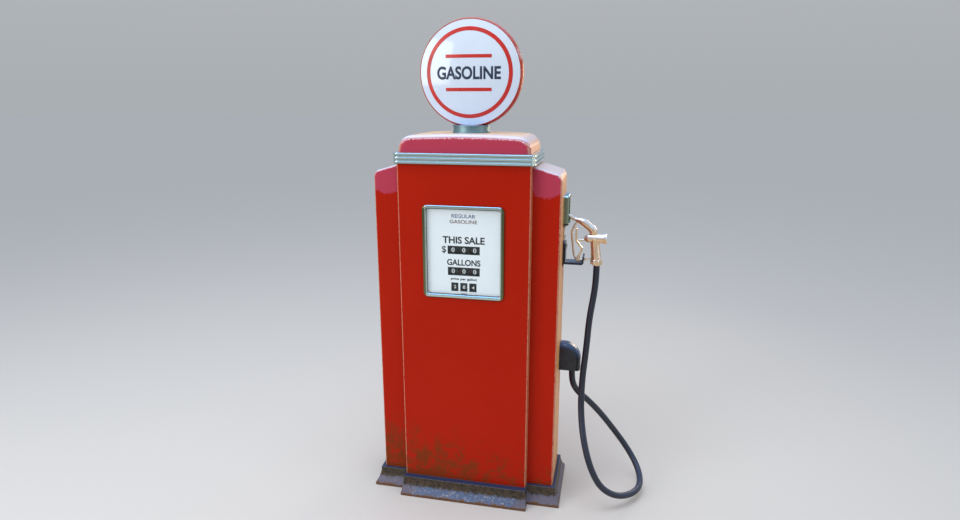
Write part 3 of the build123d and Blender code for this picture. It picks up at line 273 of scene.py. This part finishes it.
def red_enamel(name, chalk_and_sheen_height, sag=0.0, sky_sheen_share=0.95):
    """Red enamel: lavender chalking above a height, partly a painted sky reflection, a painted pale sky
    reflection on tops, and brown-green grime near the plinth.
    """
    red, deep_red = (0.455, 0.0125, 0.0035), (0.420, 0.0110, 0.0032)
    film_and_sheen, glint = (0.750, 0.770, 0.970), (0.90, 0.84, 0.90)
    grime_green, rust_brown = (0.092, 0.046, 0.010), (0.200, 0.038, 0.012)
    worn_edge_highlight = (0.72, 0.40, 0.26)
    paint = new_material(name, red, 0.30, Specular_IOR_Level=0.32, Specular_Tint=(1.0, 0.30, 0.16, 1.0),
                         Sheen_Weight=1.0, Sheen_Roughness=0.20, Sheen_Tint=(1.0, 0.66, 0.25, 1.0))
    speckle = noise(paint, 0.009, 8.0, 0.78)
    tops = plus(paint, upward(paint), wander(paint, speckle, 0.35))
    grime = grime_patches(paint, speckle)

    tone = mixed(paint, ramp(paint, noise(paint, 0.35, 4.0), 0.3, 0.75), red, deep_red)
    tone = chalked(paint, tone, chalk_and_sheen_height, sag)
    # a painted pale reflection of the sky where the surface faces up
    tone = mixed(paint, times(paint, ramp(paint, tops, 0.30, 0.74), sky_sheen_share), tone, film_and_sheen)
    tone = mixed(paint, times(paint, grime, 0.66), tone, grime_green)
    tone = mixed(paint, times(paint, rust_patches(paint), 0.40), tone, rust_brown)
    tone = mixed(paint, times(paint, brow_glints(paint, tops), 0.85), tone, glint)
    # worn edges, which are also a painted highlight along the edges and the rounded upright corners
    worn = maths(paint, "MAXIMUM", edge_mask(paint), corner_mask(paint))
    edges = times(paint, worn, ramp(paint, speckle, 0.36, 0.54))
    connect(paint, "Base Color", mixed(paint, times(paint, edges, 0.72), tone, worn_edge_highlight))

    uneven = plus(paint, times(paint, grime, 0.25), times(paint, noise(paint, 0.06), 0.10))
    connect(paint, "Roughness", plus(paint, uneven, 0.27))
    rounded_edges(paint, 0.002, noise(paint, 0.006, 2.0), 0.03, 0.0003)
    return paint


# ---------------------------------------------------------------- other materials
# the heights between which the plinth's painted flare gives way to its brown riser
flare_low, flare_high = 0.034, 0.042


def plinth_iron():
    """Cast iron: blue-grey where it faces up and blue-grey paint left on the low flare, brown rust and chips
    between, and bare edges that are partly a painted highlight.
    """
    blue_grey, brown, dark_brown = (0.026, 0.048, 0.130), (0.062, 0.043, 0.024), (0.014, 0.012, 0.007)
    lilac_grey, blue_paint, chip = (0.130, 0.115, 0.165), (0.085, 0.125, 0.235), (0.40, 0.40, 0.46)
    rust, bare_edge_highlight = (0.150, 0.062, 0.020), (0.46, 0.47, 0.50)
    iron = new_material("plinth_iron", brown, 0.6, 0.15)
    wobble = wander(iron, noise(iron, 0.020, 9.0, 0.75), 0.050)
    level = plus(iron, axis_value(iron, "Z"), wobble)
    speckle = noise(iron, 0.0045, 6.0, 0.75)

    # the low flare: lilac paint, scuffed to blue along its middle stretch
    middle = ramp(iron, plus(iron, from_centre(iron), wobble), 0.190, 0.240, reverse=True)
    scuffed = times(iron, middle, ramp(iron, noise(iron, 0.060, 6.0, 0.7), 0.34, 0.50))
    flare_paint = mixed(iron, scuffed, lilac_grey, blue_paint)

    # the riser above it: brown, mottled and rusted
    tone = mixed(iron, ramp(iron, level, flare_low, flare_high), flare_paint, brown)
    blotches = ramp(iron, noise(iron, 0.013, 9.0, 0.80), 0.46, 0.56)
    tone = mixed(iron, times(iron, blotches, ramp(iron, level, 0.030, 0.044)), tone, dark_brown)
    orange = times(iron, ramp(iron, noise(iron, 0.010, 9.0, 0.85), 0.54, 0.60),
                   ramp(iron, level, 0.034, 0.050))
    tone = mixed(iron, times(iron, orange, 0.85), tone, rust)

    # chips on the flare, a rusty foot, blue-grey where it faces up, and bare edges that are partly a painted
    # highlight
    chips = times(iron, ramp(iron, level, flare_low, flare_high, reverse=True),
                  ramp(iron, noise(iron, 0.011, 9.0, 0.85), 0.53, 0.58))
    tone = mixed(iron, times(iron, chips, plus(iron, times(iron, middle, 0.55), 0.20)), tone, chip)
    tone = mixed(iron, ramp(iron, level, 0.009, 0.015, reverse=True), tone, rust)
    tone = mixed(iron, ramp(iron, upward(iron), 0.80, 0.95), tone, blue_grey)
    edges = times(iron, edge_mask(iron), ramp(iron, speckle, 0.28, 0.48))
    connect(iron, "Base Color", mixed(iron, times(iron, edges, 0.8), tone, bare_edge_highlight))
    connect(iron, "Roughness", plus(iron, times(iron, speckle, 0.35), 0.30))
    rounded_edges(iron, 0.003, noise(iron, 0.004, 6.0, 0.6), 0.22, 0.0005)
    return iron


def bright_metal(name, colour, dull, roughness):
    """Plated metal with faint tarnish clouds and a slightly uneven surface."""
    metal = new_material(name, colour, roughness, 1.0)
    cloud = ramp(metal, noise(metal, 0.02, 8.0, 0.65), 0.35, 0.75)
    connect(metal, "Base Color", mixed(metal, cloud, colour, dull))
    connect(metal, "Roughness", plus(metal, times(metal, cloud, 0.10), roughness))
    rounded_edges(metal, edge_radius, noise(metal, 0.03, 2.0), 0.05, 0.0004)
    return metal


def ribbed_chrome(name, roughness, crest=(0.70, 0.86, 0.80), side_from=None):
    """Dulled chrome with painted reflections: a blue sky reflection where it faces up, painted dark green
    shade below, and a painted olive reflection on bars beyond a distance in X.
    """
    sky_reflection_blue, painted_shade_green, olive = (0.32, 0.62, 1.00), (0.050, 0.066, 0.044), (0.140, 0.155, 0.075)
    side_fringe = 0.006
    metal = new_material(name, crest, roughness, 1.0)
    rising = plus(metal, upward(metal), wander(metal, noise(metal, 0.05, 4.0), 0.2))
    # painted dark green shade below and a painted blue sky reflection above, by the way the surface faces
    level = mixed(metal, ramp(metal, rising, -0.42, -0.02), painted_shade_green, crest)
    tone = mixed(metal, ramp(metal, rising, 0.28, 0.62), level, sky_reflection_blue)
    # a painted olive reflection on the bars beyond a distance in X
    if side_from:
        tone = mixed(metal, ramp(metal, from_centre(metal), side_from, side_from + side_fringe), tone, olive)
    connect(metal, "Base Color", tone)
    worn = times(metal, ramp(metal, noise(metal, 0.030, 8.0, 0.7), 0.45, 0.75), 0.10)
    connect(metal, "Roughness", plus(metal, worn, roughness))
    return metal


def worn_plating():
    """Nickel plating with painted reflections: a silvery sky reflection painted where it faces up, and a
    warm brass reflection painted at the sides and below.
    """
    sky_reflection_silver, warm_reflection_brass, dirt = (0.88, 0.92, 1.00), (0.84, 0.58, 0.33), (0.20, 0.12, 0.07)
    metal = new_material("worn_plating", warm_reflection_brass, 0.24, 0.72)
    rising = plus(metal, upward(metal), wander(metal, noise(metal, 0.012), 0.7))
    # painted reflections: silvery sky above, warm brass surroundings at the sides and below
    plated = mixed(metal, ramp(metal, rising, -0.05, 0.45), warm_reflection_brass, sky_reflection_silver)
    grime = ramp(metal, noise(metal, 0.006, 8.0, 0.7), 0.58, 0.74)
    connect(metal, "Base Color", mixed(metal, times(metal, grime, 0.35), plated, dirt))
    connect(metal, "Roughness", plus(metal, times(metal, noise(metal, 0.02), 0.22), 0.14))
    rounded_edges(metal, edge_radius, noise(metal, 0.0016, 3.0), 0.06, 0.0003)
    return metal


def opal_glass():
    """White pressed glass with faint blue clouds, lit a little from inside."""
    milk, shade = (0.66, 0.74, 0.86), (0.58, 0.66, 0.80)
    glass = new_material("opal_glass", milk, 0.12, Coat_Weight=0.4, Coat_Roughness=0.05,
                         Emission_Color=(0.80, 0.90, 1.0, 1.0), Emission_Strength=0.05)
    tint = ramp(glass, noise(glass, 0.12, 4.0), 0.3, 0.8)
    connect(glass, "Base Color", mixed(glass, times(glass, tint, 0.5), milk, shade))
    connect(glass, "Roughness", plus(glass, times(glass, noise(glass, 0.03), 0.10), 0.08))
    return glass


def clear_glass():
    """Thin clear glass: the face behind shows through, with only a faint green body."""
    return new_material("clear_glass", (0.10, 0.16, 0.15), 0.03, Alpha=0.05)


def painted(name, colour, second, roughness, size=0.03, relief=0.0):
    """Plain paint, plastic or ink in two close tones, with uneven gloss and rounded edges."""
    paint = new_material(name, colour, roughness)
    cloud = ramp(paint, noise(paint, size, 7.0, 0.65), 0.32, 0.72)
    connect(paint, "Base Color", mixed(paint, cloud, colour, second))
    connect(paint, "Roughness", plus(paint, times(paint, cloud, 0.18), roughness - 0.06))
    rounded_edges(paint, edge_radius, noise(paint, size / 12, 4.0), relief, 0.0005)
    return paint


def backlit(paint, strength):
    """Paint that glows a little in a cool white: a painted glow standing in for the light of the dial's
    lamp.
    """
    shader_of(paint).inputs["Emission Color"].default_value = (0.85, 0.95, 1.0, 1.0)
    shader_of(paint).inputs["Emission Strength"].default_value = strength
    return paint


def dusty_black(name, dirtiness):
    """Black enamel: a painted blue sky sheen where it faces up, with patches of olive dirt all over."""
    black, dust_and_sheen, olive = (0.011, 0.013, 0.019), (0.085, 0.180, 0.400), (0.034, 0.032, 0.018)
    paint = new_material(name, black, 0.42)
    top = ramp(paint, upward(paint), -0.05, 0.80)
    dirt = ramp(paint, noise(paint, 0.025, 8.0, 0.7), 0.45, 0.68)
    # a painted blue sky sheen on the faces that look up
    sky_sheened = mixed(paint, times(paint, top, 0.85), black, dust_and_sheen)
    connect(paint, "Base Color", mixed(paint, times(paint, dirt, dirtiness), sky_sheened, olive))
    connect(paint, "Roughness", plus(paint, times(paint, dirt, 0.3), 0.26))
    rounded_edges(paint, 0.002, noise(paint, 0.004, 6.0), 0.25, 0.0006)
    return paint


def hose_rubber():
    """Blue-black rubber with a fine moulded cloth wrap, a thin dusting, and a painted bluish sheen where it
    faces up.
    """
    black, lit_black, dust_and_sheen = (0.0120, 0.0165, 0.0300), (0.030, 0.046, 0.105), (0.050, 0.062, 0.085)
    rubber = new_material("hose_rubber", black, 0.42)
    film_and_sheen = ramp(rubber, noise(rubber, 0.05, 8.0, 0.65), 0.50, 0.80)
    lit = mixed(rubber, ramp(rubber, upward(rubber), 0.15, 0.95), black, lit_black)
    connect(rubber, "Base Color", mixed(rubber, times(rubber, film_and_sheen, 0.45), lit, dust_and_sheen))
    connect(rubber, "Roughness", plus(rubber, times(rubber, film_and_sheen, 0.25), 0.36))
    wrap = new_node(rubber, "TexWave", Scale=160.0, Distortion=0.6, Vector=coordinates(rubber))
    wrap.bands_direction = "DIAGONAL"
    bump = new_node(rubber, "Bump", Strength=0.18, Distance=0.0004, Height=wrap.outputs["Fac"])
    connect(rubber, "Normal", bump.outputs["Normal"])
    return rubber


# where the lavender chalking, partly a painted sky reflection, starts on the wings and how it sags
chalk_and_sheen_drop = 0.112
chalk_and_sheen_sag = 7.0
under_cap = 0.1
olive_bar = 0.014
panel_red = red_enamel("panel_red", above_everything)
wing_red = red_enamel("wing_red", wing_top - chalk_and_sheen_drop, chalk_and_sheen_sag)
cap_red = red_enamel("cap_red", cap_foot - under_cap)
rim_red = red_enamel("rim_red", above_everything, sky_sheen_share=0.18)
chrome = ribbed_chrome("chrome", 0.09)
bezel_chrome = ribbed_chrome("bezel_chrome", 0.12, (0.52, 0.62, 0.56), bezel_end_x - olive_bar)
satin_chrome = ribbed_chrome("satin_chrome", 0.42, (0.22, 0.34, 0.35))
pocket_metal = ribbed_chrome("pocket_metal", 0.30, (0.24, 0.32, 0.22))
tan_plate = bright_metal("tan_plate", (0.74, 0.62, 0.46), (0.50, 0.41, 0.30), 0.30)
steel = bright_metal("steel", (0.52, 0.53, 0.54), (0.30, 0.29, 0.28), 0.30)
zinc = bright_metal("zinc", (0.60, 0.61, 0.62), (0.40, 0.41, 0.42), 0.42)
brass = bright_metal("brass", (0.72, 0.50, 0.20), (0.40, 0.27, 0.12), 0.26)
plating = worn_plating()
black_enamel = dusty_black("black_enamel", 0.1)
machine_grey = painted("machine_grey", (0.135, 0.160, 0.165), (0.100, 0.115, 0.115), 0.45, 0.04, 0.15)
drum_black = painted("drum_black", (0.010, 0.011, 0.013), (0.018, 0.019, 0.022), 0.50, 0.02, 0.05)
dial_white = backlit(painted("dial_white", (0.86, 0.93, 0.97), (0.82, 0.90, 0.94), 0.34, 0.10), 0.16)
print_black = painted("print_black", (0.016, 0.018, 0.022), (0.028, 0.030, 0.034), 0.45, 0.02)
print_navy = painted("print_navy", (0.012, 0.026, 0.060), (0.018, 0.034, 0.074), 0.38, 0.03)
print_blue = painted("print_blue", (0.030, 0.080, 0.330), (0.040, 0.095, 0.300), 0.45, 0.02)
print_maroon = painted("print_maroon", (0.190, 0.022, 0.040), (0.150, 0.020, 0.036), 0.45, 0.02)
print_white = backlit(painted("print_white", (0.90, 0.92, 0.93), (0.82, 0.84, 0.85), 0.45, 0.02), 0.25)
print_red = painted("print_red", (0.62, 0.022, 0.014), (0.52, 0.018, 0.012), 0.30, 0.05)
drum_red = painted("drum_red", (0.110, 0.018, 0.014), (0.070, 0.012, 0.010), 0.45, 0.02)
soft_rubber = painted("soft_rubber", (0.016, 0.016, 0.017), (0.030, 0.029, 0.028), 0.60, 0.02, 0.2)
hood_black = dusty_black("hood_black", 0.4)
rubber = hose_rubber()
iron = plinth_iron()
opal = opal_glass()
glass = clear_glass()

# every node that isn't named here is plain steel
finishes = {
    "base_plinth": iron, "dial_glass": glass, "dial_face": dial_white, "window_mask": drum_black,
    "globe_lens_front": opal, "globe_lens_rear": opal, "hose_hood": hood_black, "meter": brass,
    "dial_lamp": opal, "globe_lamp": glass, "wear_plate": tan_plate, "lamp_socket": brass,
    "nozzle_receptacle": pocket_metal, "top_cap": cap_red, "globe_collar": satin_chrome,
    "trim_band": chrome, "dial_bezel": bezel_chrome, "globe_rim": rim_red,
}
shared_finishes = (
    (panel_red, ("front_panel", "rear_door")),
    (wing_red, ("left_wing", "right_wing")),
    (black_enamel, ("hook", "hook_plate")),
    (soft_rubber, ("bezel_gasket", "drive_belt")),
    (plating, ("nozzle_body", "nozzle_spout", "nozzle_guard", "hose_swivel", "nozzle_lever", "valve_stem")),
    (machine_grey, ("frame_posts", "frame_shelves", "motor", "pump_unit", "air_separator",
                    "motor_pulley", "pump_pulley")),
    (zinc, ("computer_frame", "conduit", "junction_box")),
    (drum_black, (*number_drums, *price_figures)),
)
for material, names in shared_finishes:
    finishes.update(dict.fromkeys(names, material))
for name, node in nodes.items():
    node.data.materials.clear()
    node.data.materials.append(finishes.get(name, steel))


# ---------------------------------------------------------------- making pieces


def add_mesh(name, mesh, material, body):
    piece = bpy.data.objects.new(name, mesh)
    collection.objects.link(piece)
    piece.data.materials.append(material)
    if body:
        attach(piece, body)
    return piece


def mesh_of(shape, name):
    """The finished mesh of a bmesh, which is then let go."""
    mesh = bpy.data.meshes.new(name)
    shape.to_mesh(mesh)
    shape.free()
    return mesh


def evaluated_mesh(curve):
    """The mesh that Blender makes of a curve or of letters; the curve itself is removed."""
    holder = bpy.data.objects.new(curve.name, curve)
    collection.objects.link(holder)
    bpy.context.view_layer.update()
    mesh = bpy.data.meshes.new_from_object(holder.evaluated_get(bpy.context.evaluated_depsgraph_get()))
    bpy.data.objects.remove(holder)
    bpy.data.curves.remove(curve)
    return mesh


def text_mesh(words, height, thickness, width, weight):
    """Letters on the XZ plane, facing -Y, centred, with a full height, a full width and a thickness."""
    curve = bpy.data.curves.new("letters", "FONT")
    curve.body = words
    curve.align_x = "CENTER"
    curve.offset = weight
    curve.resolution_u = 6
    mesh = evaluated_mesh(curve)
    points = [v.co.copy() for v in mesh.vertices]
    low = Vector((min(p.x for p in points), min(p.y for p in points), 0))
    high = Vector((max(p.x for p in points), max(p.y for p in points), 0))
    middle = (low + high) / 2
    grow_x, grow_z = width / (high.x - low.x), height / (high.y - low.y)
    for vertex in mesh.vertices:
        x, z = (vertex.co.x - middle.x) * grow_x, (vertex.co.y - middle.y) * grow_z
        vertex.co = Vector((x, 0, z))
    thicken(mesh, thickness)
    return mesh


def thicken(mesh, thickness):
    """Gives a flat outline on the XZ plane a real thickness, back from its front at y = 0."""
    shape = bmesh.new()
    shape.from_mesh(mesh)
    bmesh.ops.remove_doubles(shape, verts=shape.verts, dist=1e-6)
    bmesh.ops.recalc_face_normals(shape, faces=shape.faces)
    made = bmesh.ops.extrude_face_region(shape, geom=list(shape.faces))
    for item in made["geom"]:
        if isinstance(item, bmesh.types.BMVert):
            item.co.y += thickness
    bmesh.ops.recalc_face_normals(shape, faces=shape.faces)
    shape.to_mesh(mesh)
    shape.free()


def shift(mesh, x, y, z):
    mesh.transform(Matrix.Translation((x, y, z)))
    return mesh


def smooth(mesh):
    for polygon in mesh.polygons:
        polygon.use_smooth = True
    return mesh


# ---------------------------------------------------------------- the dial's print
print_gauge = 0.0004
price_window_rise = 0.003
sale_z = drum_shape("sale_drum_dimes")[0][2]
gallons_z = drum_shape("gallons_drum_units")[0][2]
price_window_z = drum_shape("price_wheel_cents")[0][2] + price_window_rise

# each row: the words, their middle in X and Z, their height and width, how bold they are, their ink
dial_words = (
    ("REGULAR", 0, sale_z + 0.1290, 0.0138, 0.090, 0.008, print_blue),
    ("GASOLINE", 0, sale_z + 0.1080, 0.0132, 0.104, 0.008, print_maroon),
    ("THIS SALE", 0, sale_z + 0.0385, 0.0270, 0.160, 0.026, print_black),
    ("$", -0.0755, sale_z, 0.0290, 0.0165, 0.008, print_black),
    ("GALLONS", 0, gallons_z + 0.0350, 0.0240, 0.128, 0.026, print_black),
    ("price per gallon", 0, gallons_z - 0.0300, 0.0125, 0.100, 0.024, print_black),
    ("cents", 0, price_window_z - 0.0250, 0.0045, 0.022, 0.010, print_black),
)
for words, x, z, height, width, weight, ink in dial_words:
    letters = shift(text_mesh(words, height, print_gauge, width, weight), x, face_y - print_gauge, z)
    label = words.replace(" ", "_").replace("$", "dollar_sign").lower()
    add_mesh("print_" + label, letters, ink, "cabinet")


# ---------------------------------------------------------------- figures on the number drums
figure_gauge = 0.0002
figure_weight = 0.030
narrow_one = 0.55
drum_figure_size = (0.0190, 0.0122)
price_figure_size = (0.0145, 0.0100)
band_gauge = 0.0001
band_inset = 0.0002
band_width = 0.0050


def wrapped(mesh, x, y, z, radius, turn):
    """Bends flat letters round a drum about X, so that they face out at an angle from the front."""
    for vertex in mesh.vertices:
        out = radius - vertex.co.y
        angle = turn + vertex.co.z / radius
        vertex.co = Vector((x + vertex.co.x, y - out * cos(angle), z + out * sin(angle)))
    return mesh


def band_mesh(x0, x1, y, z, radius, gauge, sides=72):
    """A thin printed band round a drum."""
    shape = bmesh.new()
    section = ((x0, radius), (x0, radius + gauge), (x1, radius + gauge), (x1, radius))
    angles = [2 * pi * i / sides for i in range(sides)]
    rings = [[shape.verts.new((x, y - r * cos(angle), z + r * sin(angle))) for angle in angles]
             for x, r in section]
    for a, b in zip(rings, rings[1:] + rings[:1]):
        for i in range(sides):
            j = (i + 1) % sides
            shape.faces.new((a[i], a[j], b[j], b[i]))
    bmesh.ops.recalc_face_normals(shape, faces=shape.faces)
    return smooth(mesh_of(shape, "band"))


def joined(meshes):
    """One mesh out of several."""
    shape = bmesh.new()
    for mesh in meshes:
        shape.from_mesh(mesh)
    return mesh_of(shape, "joined")


def number_figures(drum, shown, size, window_z=None):
    """Ten raised white figures round a drum, with the shown one facing out of its window."""
    height, width = size
    middle, radius = drum_shape(drum)
    front = asin((window_z - middle[2]) / radius) if window_z else 0.0
    figures = []
    for figure in range(10):
        turn = front - (figure - shown) * 2 * pi / 10
        figure_width = width * narrow_one if figure == 1 else width
        flat = text_mesh(str(figure), height, figure_gauge, figure_width, figure_weight)
        figures.append(wrapped(shift(flat, 0, -figure_gauge, 0), *middle, radius, turn))
    add_mesh("figures_" + drum, joined(figures), print_white, drum)


for name in number_drums:
    number_figures(name, 0, drum_figure_size)
for name, shown in price_figures.items():
    number_figures(name, shown, price_figure_size, price_window_z)

red_banded = ("sale_drum_cents", "gallons_drum_units", "gallons_drum_tenths")
for name in red_banded:
    (_, y, z), radius = drum_shape(name)
    band_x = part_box(name)[0][0] + band_inset
    band = band_mesh(band_x, band_x + band_width, y, z, radius, band_gauge)
    add_mesh("band_" + name, band, drum_red, name)

# ---------------------------------------------------------------- the globe's printed lens
lens_radius = (lens_high[0] - lens_low[0]) / 2
lens_crown_y = lens_low[1]
lens_drop = 0.028
ball_radius = (lens_radius ** 2 + lens_drop ** 2) / (2 * lens_drop)
ink_gauge = 0.0005
ink_depth = ink_gauge + 0.0008
print_fineness = 0.012
print_splits = 5
ring_inner, ring_outer = 0.1460, 0.1600
bar_length, bar_gauge, bar_rise = 0.170, 0.012, 0.058
word_height, word_width, word_weight = 0.046, 0.236, 0.030


def on_lens(mesh, front):
    """Splits a flat print finely and lays it on the lens's dome."""
    shape = bmesh.new()
    shape.from_mesh(mesh)
    bmesh.ops.triangulate(shape, faces=shape.faces)
    for _ in range(print_splits):
        long_edges = [e for e in shape.edges if e.calc_length() > print_fineness]
        if not long_edges:
            break
        bmesh.ops.subdivide_edges(shape, edges=long_edges, cuts=1)
        bmesh.ops.triangulate(shape, faces=shape.faces)
    side = 1 if front else -1
    for vertex in shape.verts:
        x, z, back = vertex.co.x, vertex.co.z, vertex.co.y
        sink = ball_radius - sqrt(ball_radius ** 2 - x * x - z * z)
        vertex.co = Vector((side * x, side * (lens_crown_y + sink - ink_gauge + back), globe_z + z))
    bmesh.ops.recalc_face_normals(shape, faces=shape.faces)
    shape.to_mesh(mesh)
    shape.free()
    return mesh


def circle_band(inner, outer, steps=144):
    """A ring on the XZ plane, as thick as the print."""
    shape = bmesh.new()
    rings = [[shape.verts.new((r * cos(2 * pi * i / steps), 0, r * sin(2 * pi * i / steps)))
              for i in range(steps)] for r in (inner, outer)]
    for i in range(steps):
        j = (i + 1) % steps
        shape.faces.new((rings[0][i], rings[0][j], rings[1][j], rings[1][i]))
    mesh = mesh_of(shape, "circle_band")
    thicken(mesh, ink_depth)
    return mesh


def bar_shape(width, height):
    """A bar on the XZ plane, as thick as the print."""
    shape = bmesh.new()
    corners = ((-1, -1), (1, -1), (1, 1), (-1, 1))
    shape.faces.new([shape.verts.new((width / 2 * x, 0, height / 2 * z)) for x, z in corners])
    mesh = mesh_of(shape, "bar")
    thicken(mesh, ink_depth)
    return mesh


def lens_print(side_name, front):
    """The lens's generic print: a red ring, and what the pump sells between two red bars."""
    ring = on_lens(circle_band(ring_inner, ring_outer), front)
    add_mesh(f"globe_ring_{side_name}", ring, print_red, "cabinet")
    for place, rise in (("upper", bar_rise), ("lower", -bar_rise)):
        bar = on_lens(shift(bar_shape(bar_length, bar_gauge), 0, 0, rise), front)
        add_mesh(f"globe_bar_{place}_{side_name}", bar, print_red, "cabinet")
    letters = text_mesh("GASOLINE", word_height, ink_depth, word_width, word_weight)
    add_mesh(f"globe_word_{side_name}", on_lens(letters, front), print_navy, "cabinet")


lens_print("front", True)
lens_print("rear", False)

# ---------------------------------------------------------------- the hose
hose_diameter = 0.025
hose_route = [
    (0.405, 0.050, 0.512),
    (0.405, 0.050, 0.464),
    (0.426, 0.063, 0.414),
    (0.474, 0.091, 0.362),
    (0.524, 0.120, 0.298),
    (0.588, 0.160, 0.200),
    (0.650, 0.160, 0.118),
    (0.696, 0.112, 0.060),
    (0.706, 0.030, 0.034),
    (0.672, -0.050, 0.038),
    (0.606, -0.108, 0.056),
    (0.544, -0.134, 0.102),
    (0.502, -0.128, 0.176),
    (0.470, -0.094, 0.268),
    (0.451, -0.040, 0.370),
    (0.449, -0.006, 0.490),
    (0.460, 0.008, 0.620),
    (0.466, 0.016, 0.745),
    (0.479, 0.042, 0.835),
    (0.484, 0.050, 0.895),
    (0.484, 0.050, 0.955),
]


def route_line(points, fineness=24):
    """The smooth line that a route's points control, as the points of a NURBS spline's mesh."""
    curve = bpy.data.curves.new("route", "CURVE")
    curve.dimensions = "3D"
    curve.resolution_u = fineness
    spline = curve.splines.new("NURBS")
    spline.points.add(len(points) - 1)
    for control, place in zip(spline.points, points):
        control.co = (*place, 1.0)
    spline.order_u = 3
    spline.use_endpoint_u = True
    line = evaluated_mesh(curve)
    path = [v.co.copy() for v in line.vertices]
    bpy.data.meshes.remove(line)
    return path


def tube_mesh(path, radius, sides=32):
    """A closed round tube along a path, with rings that don't twist."""
    shape = bmesh.new()
    side = Vector((1, 0, 0))
    angles = [2 * pi * k / sides for k in range(sides)]
    rings = []
    for i, point in enumerate(path):
        before, after = path[max(i - 1, 0)], path[min(i + 1, len(path) - 1)]
        along = (after - before).normalized()
        side = (side - along * side.dot(along)).normalized()
        other = along.cross(side)
        rings.append([shape.verts.new(point + radius * (cos(angle) * side + sin(angle) * other))
                      for angle in angles])
    for a, b in zip(rings, rings[1:]):
        for k in range(sides):
            j = (k + 1) % sides
            shape.faces.new((a[k], a[j], b[j], b[k]))
    shape.faces.new(rings[0][::-1])
    shape.faces.new(rings[-1])
    bmesh.ops.recalc_face_normals(shape, faces=shape.faces)
    return smooth(mesh_of(shape, "tube"))


hose_path = route_line(hose_route)
hose = add_mesh("hose_tube", tube_mesh(hose_path, hose_diameter / 2), rubber, None)
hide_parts("hose")
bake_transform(hose)

# ---------------------------------------------------------------- studio
floor_reach = 60.0
floor_colour = (0.74, 0.71, 0.68)
sky_strength = 0.75
sky_low, sky_haze, sky_high = (0.54, 0.57, 0.60, 1.0), (0.64, 0.67, 0.71, 1.0), (0.76, 0.86, 1.0, 1.0)
haze_height, high_height = 0.35, 0.80

# each light: its name, place, aim, size, spread in degrees, power and colour
lights = (
    ("top", (-0.2, -0.6, 4.2), (0.0, 0.0, 0.9), 2.6, 180, 62.0, (0.88, 0.94, 1.0)),
    ("front_left", (-3.2, -3.4, 2.4), (0.0, 0.0, 0.9), 2.6, 180, 78.0, (1.0, 0.98, 0.95)),
    ("back_right", (1.9, 3.6, 1.5), (0.4, 0.0, 0.9), 1.4, 60, 5.0, (1.0, 0.76, 0.48)),
    ("right", (4.4, -0.8, 1.6), (0.3, 0.0, 0.9), 2.6, 180, 14.0, (1.0, 0.90, 0.78)),
)

camera_place = (0.5384, -2.3448, 1.5772)
camera_tilt_down = 14.35
camera_turn = 12.18
camera_lens = 23.54


def add_floor():
    """A plain pale floor, wide enough to run past the view."""
    corners = [(x * floor_reach, y * floor_reach, 0) for x, y in ((-1, -1), (1, -1), (1, 1), (-1, 1))]
    floor_mesh = bpy.data.meshes.new("floor")
    floor_mesh.from_pydata(corners, [], [(0, 1, 2, 3)])
    floor = bpy.data.objects.new("floor", floor_mesh)
    collection.objects.link(floor)
    floor_mesh.materials.append(new_material("floor", floor_colour, 0.90, Specular_IOR_Level=0.1))


def add_sky():
    """Soft grey light all round, a little bluer overhead."""
    world = bpy.data.worlds.new("studio")
    bpy.context.scene.world = world
    world.use_nodes = True
    around = new_node(world, "TexCoord").outputs["Generated"]
    height = new_node(world, "SeparateXYZ", Vector=around).outputs["Z"]
    sky = new_node(world, "ValToRGB", Fac=height)
    low, high = sky.color_ramp.elements
    low.position, low.color = 0.0, sky_low
    high.position, high.color = high_height, sky_high
    sky.color_ramp.elements.new(haze_height).color = sky_haze
    background = world.node_tree.nodes["Background"]
    world.node_tree.links.new(sky.outputs["Color"], background.inputs["Color"])
    background.inputs["Strength"].default_value = sky_strength


def add_light(name, place, aim, size, spread, power, colour):
    """A square soft light that the camera doesn't see."""
    data = bpy.data.lights.new(name, "AREA")
    data.shape = "SQUARE"
    data.size = size
    data.energy = power
    data.color = colour
    data.spread = radians(spread)
    lamp = bpy.data.objects.new(name, data)
    lamp.location = place
    lamp.rotation_euler = (Vector(aim) - Vector(place)).to_track_quat("-Z", "Y").to_euler()
    lamp.visible_camera = False
    collection.objects.link(lamp)


def add_camera():
    """The camera, at the photograph's viewing angle."""
    data = bpy.data.cameras.new("camera")
    data.sensor_width = 36.0
    data.lens = camera_lens
    data.clip_end = 2 * floor_reach
    camera = bpy.data.objects.new("camera", data)
    camera.location = camera_place
    camera.rotation_euler = (radians(90 - camera_tilt_down), 0, radians(camera_turn))
    collection.objects.link(camera)
    bpy.context.scene.camera = camera


add_floor()
add_sky()
for light in lights:
    add_light(*light)
add_camera()
bpy.context.scene.view_settings.view_transform = "Standard"
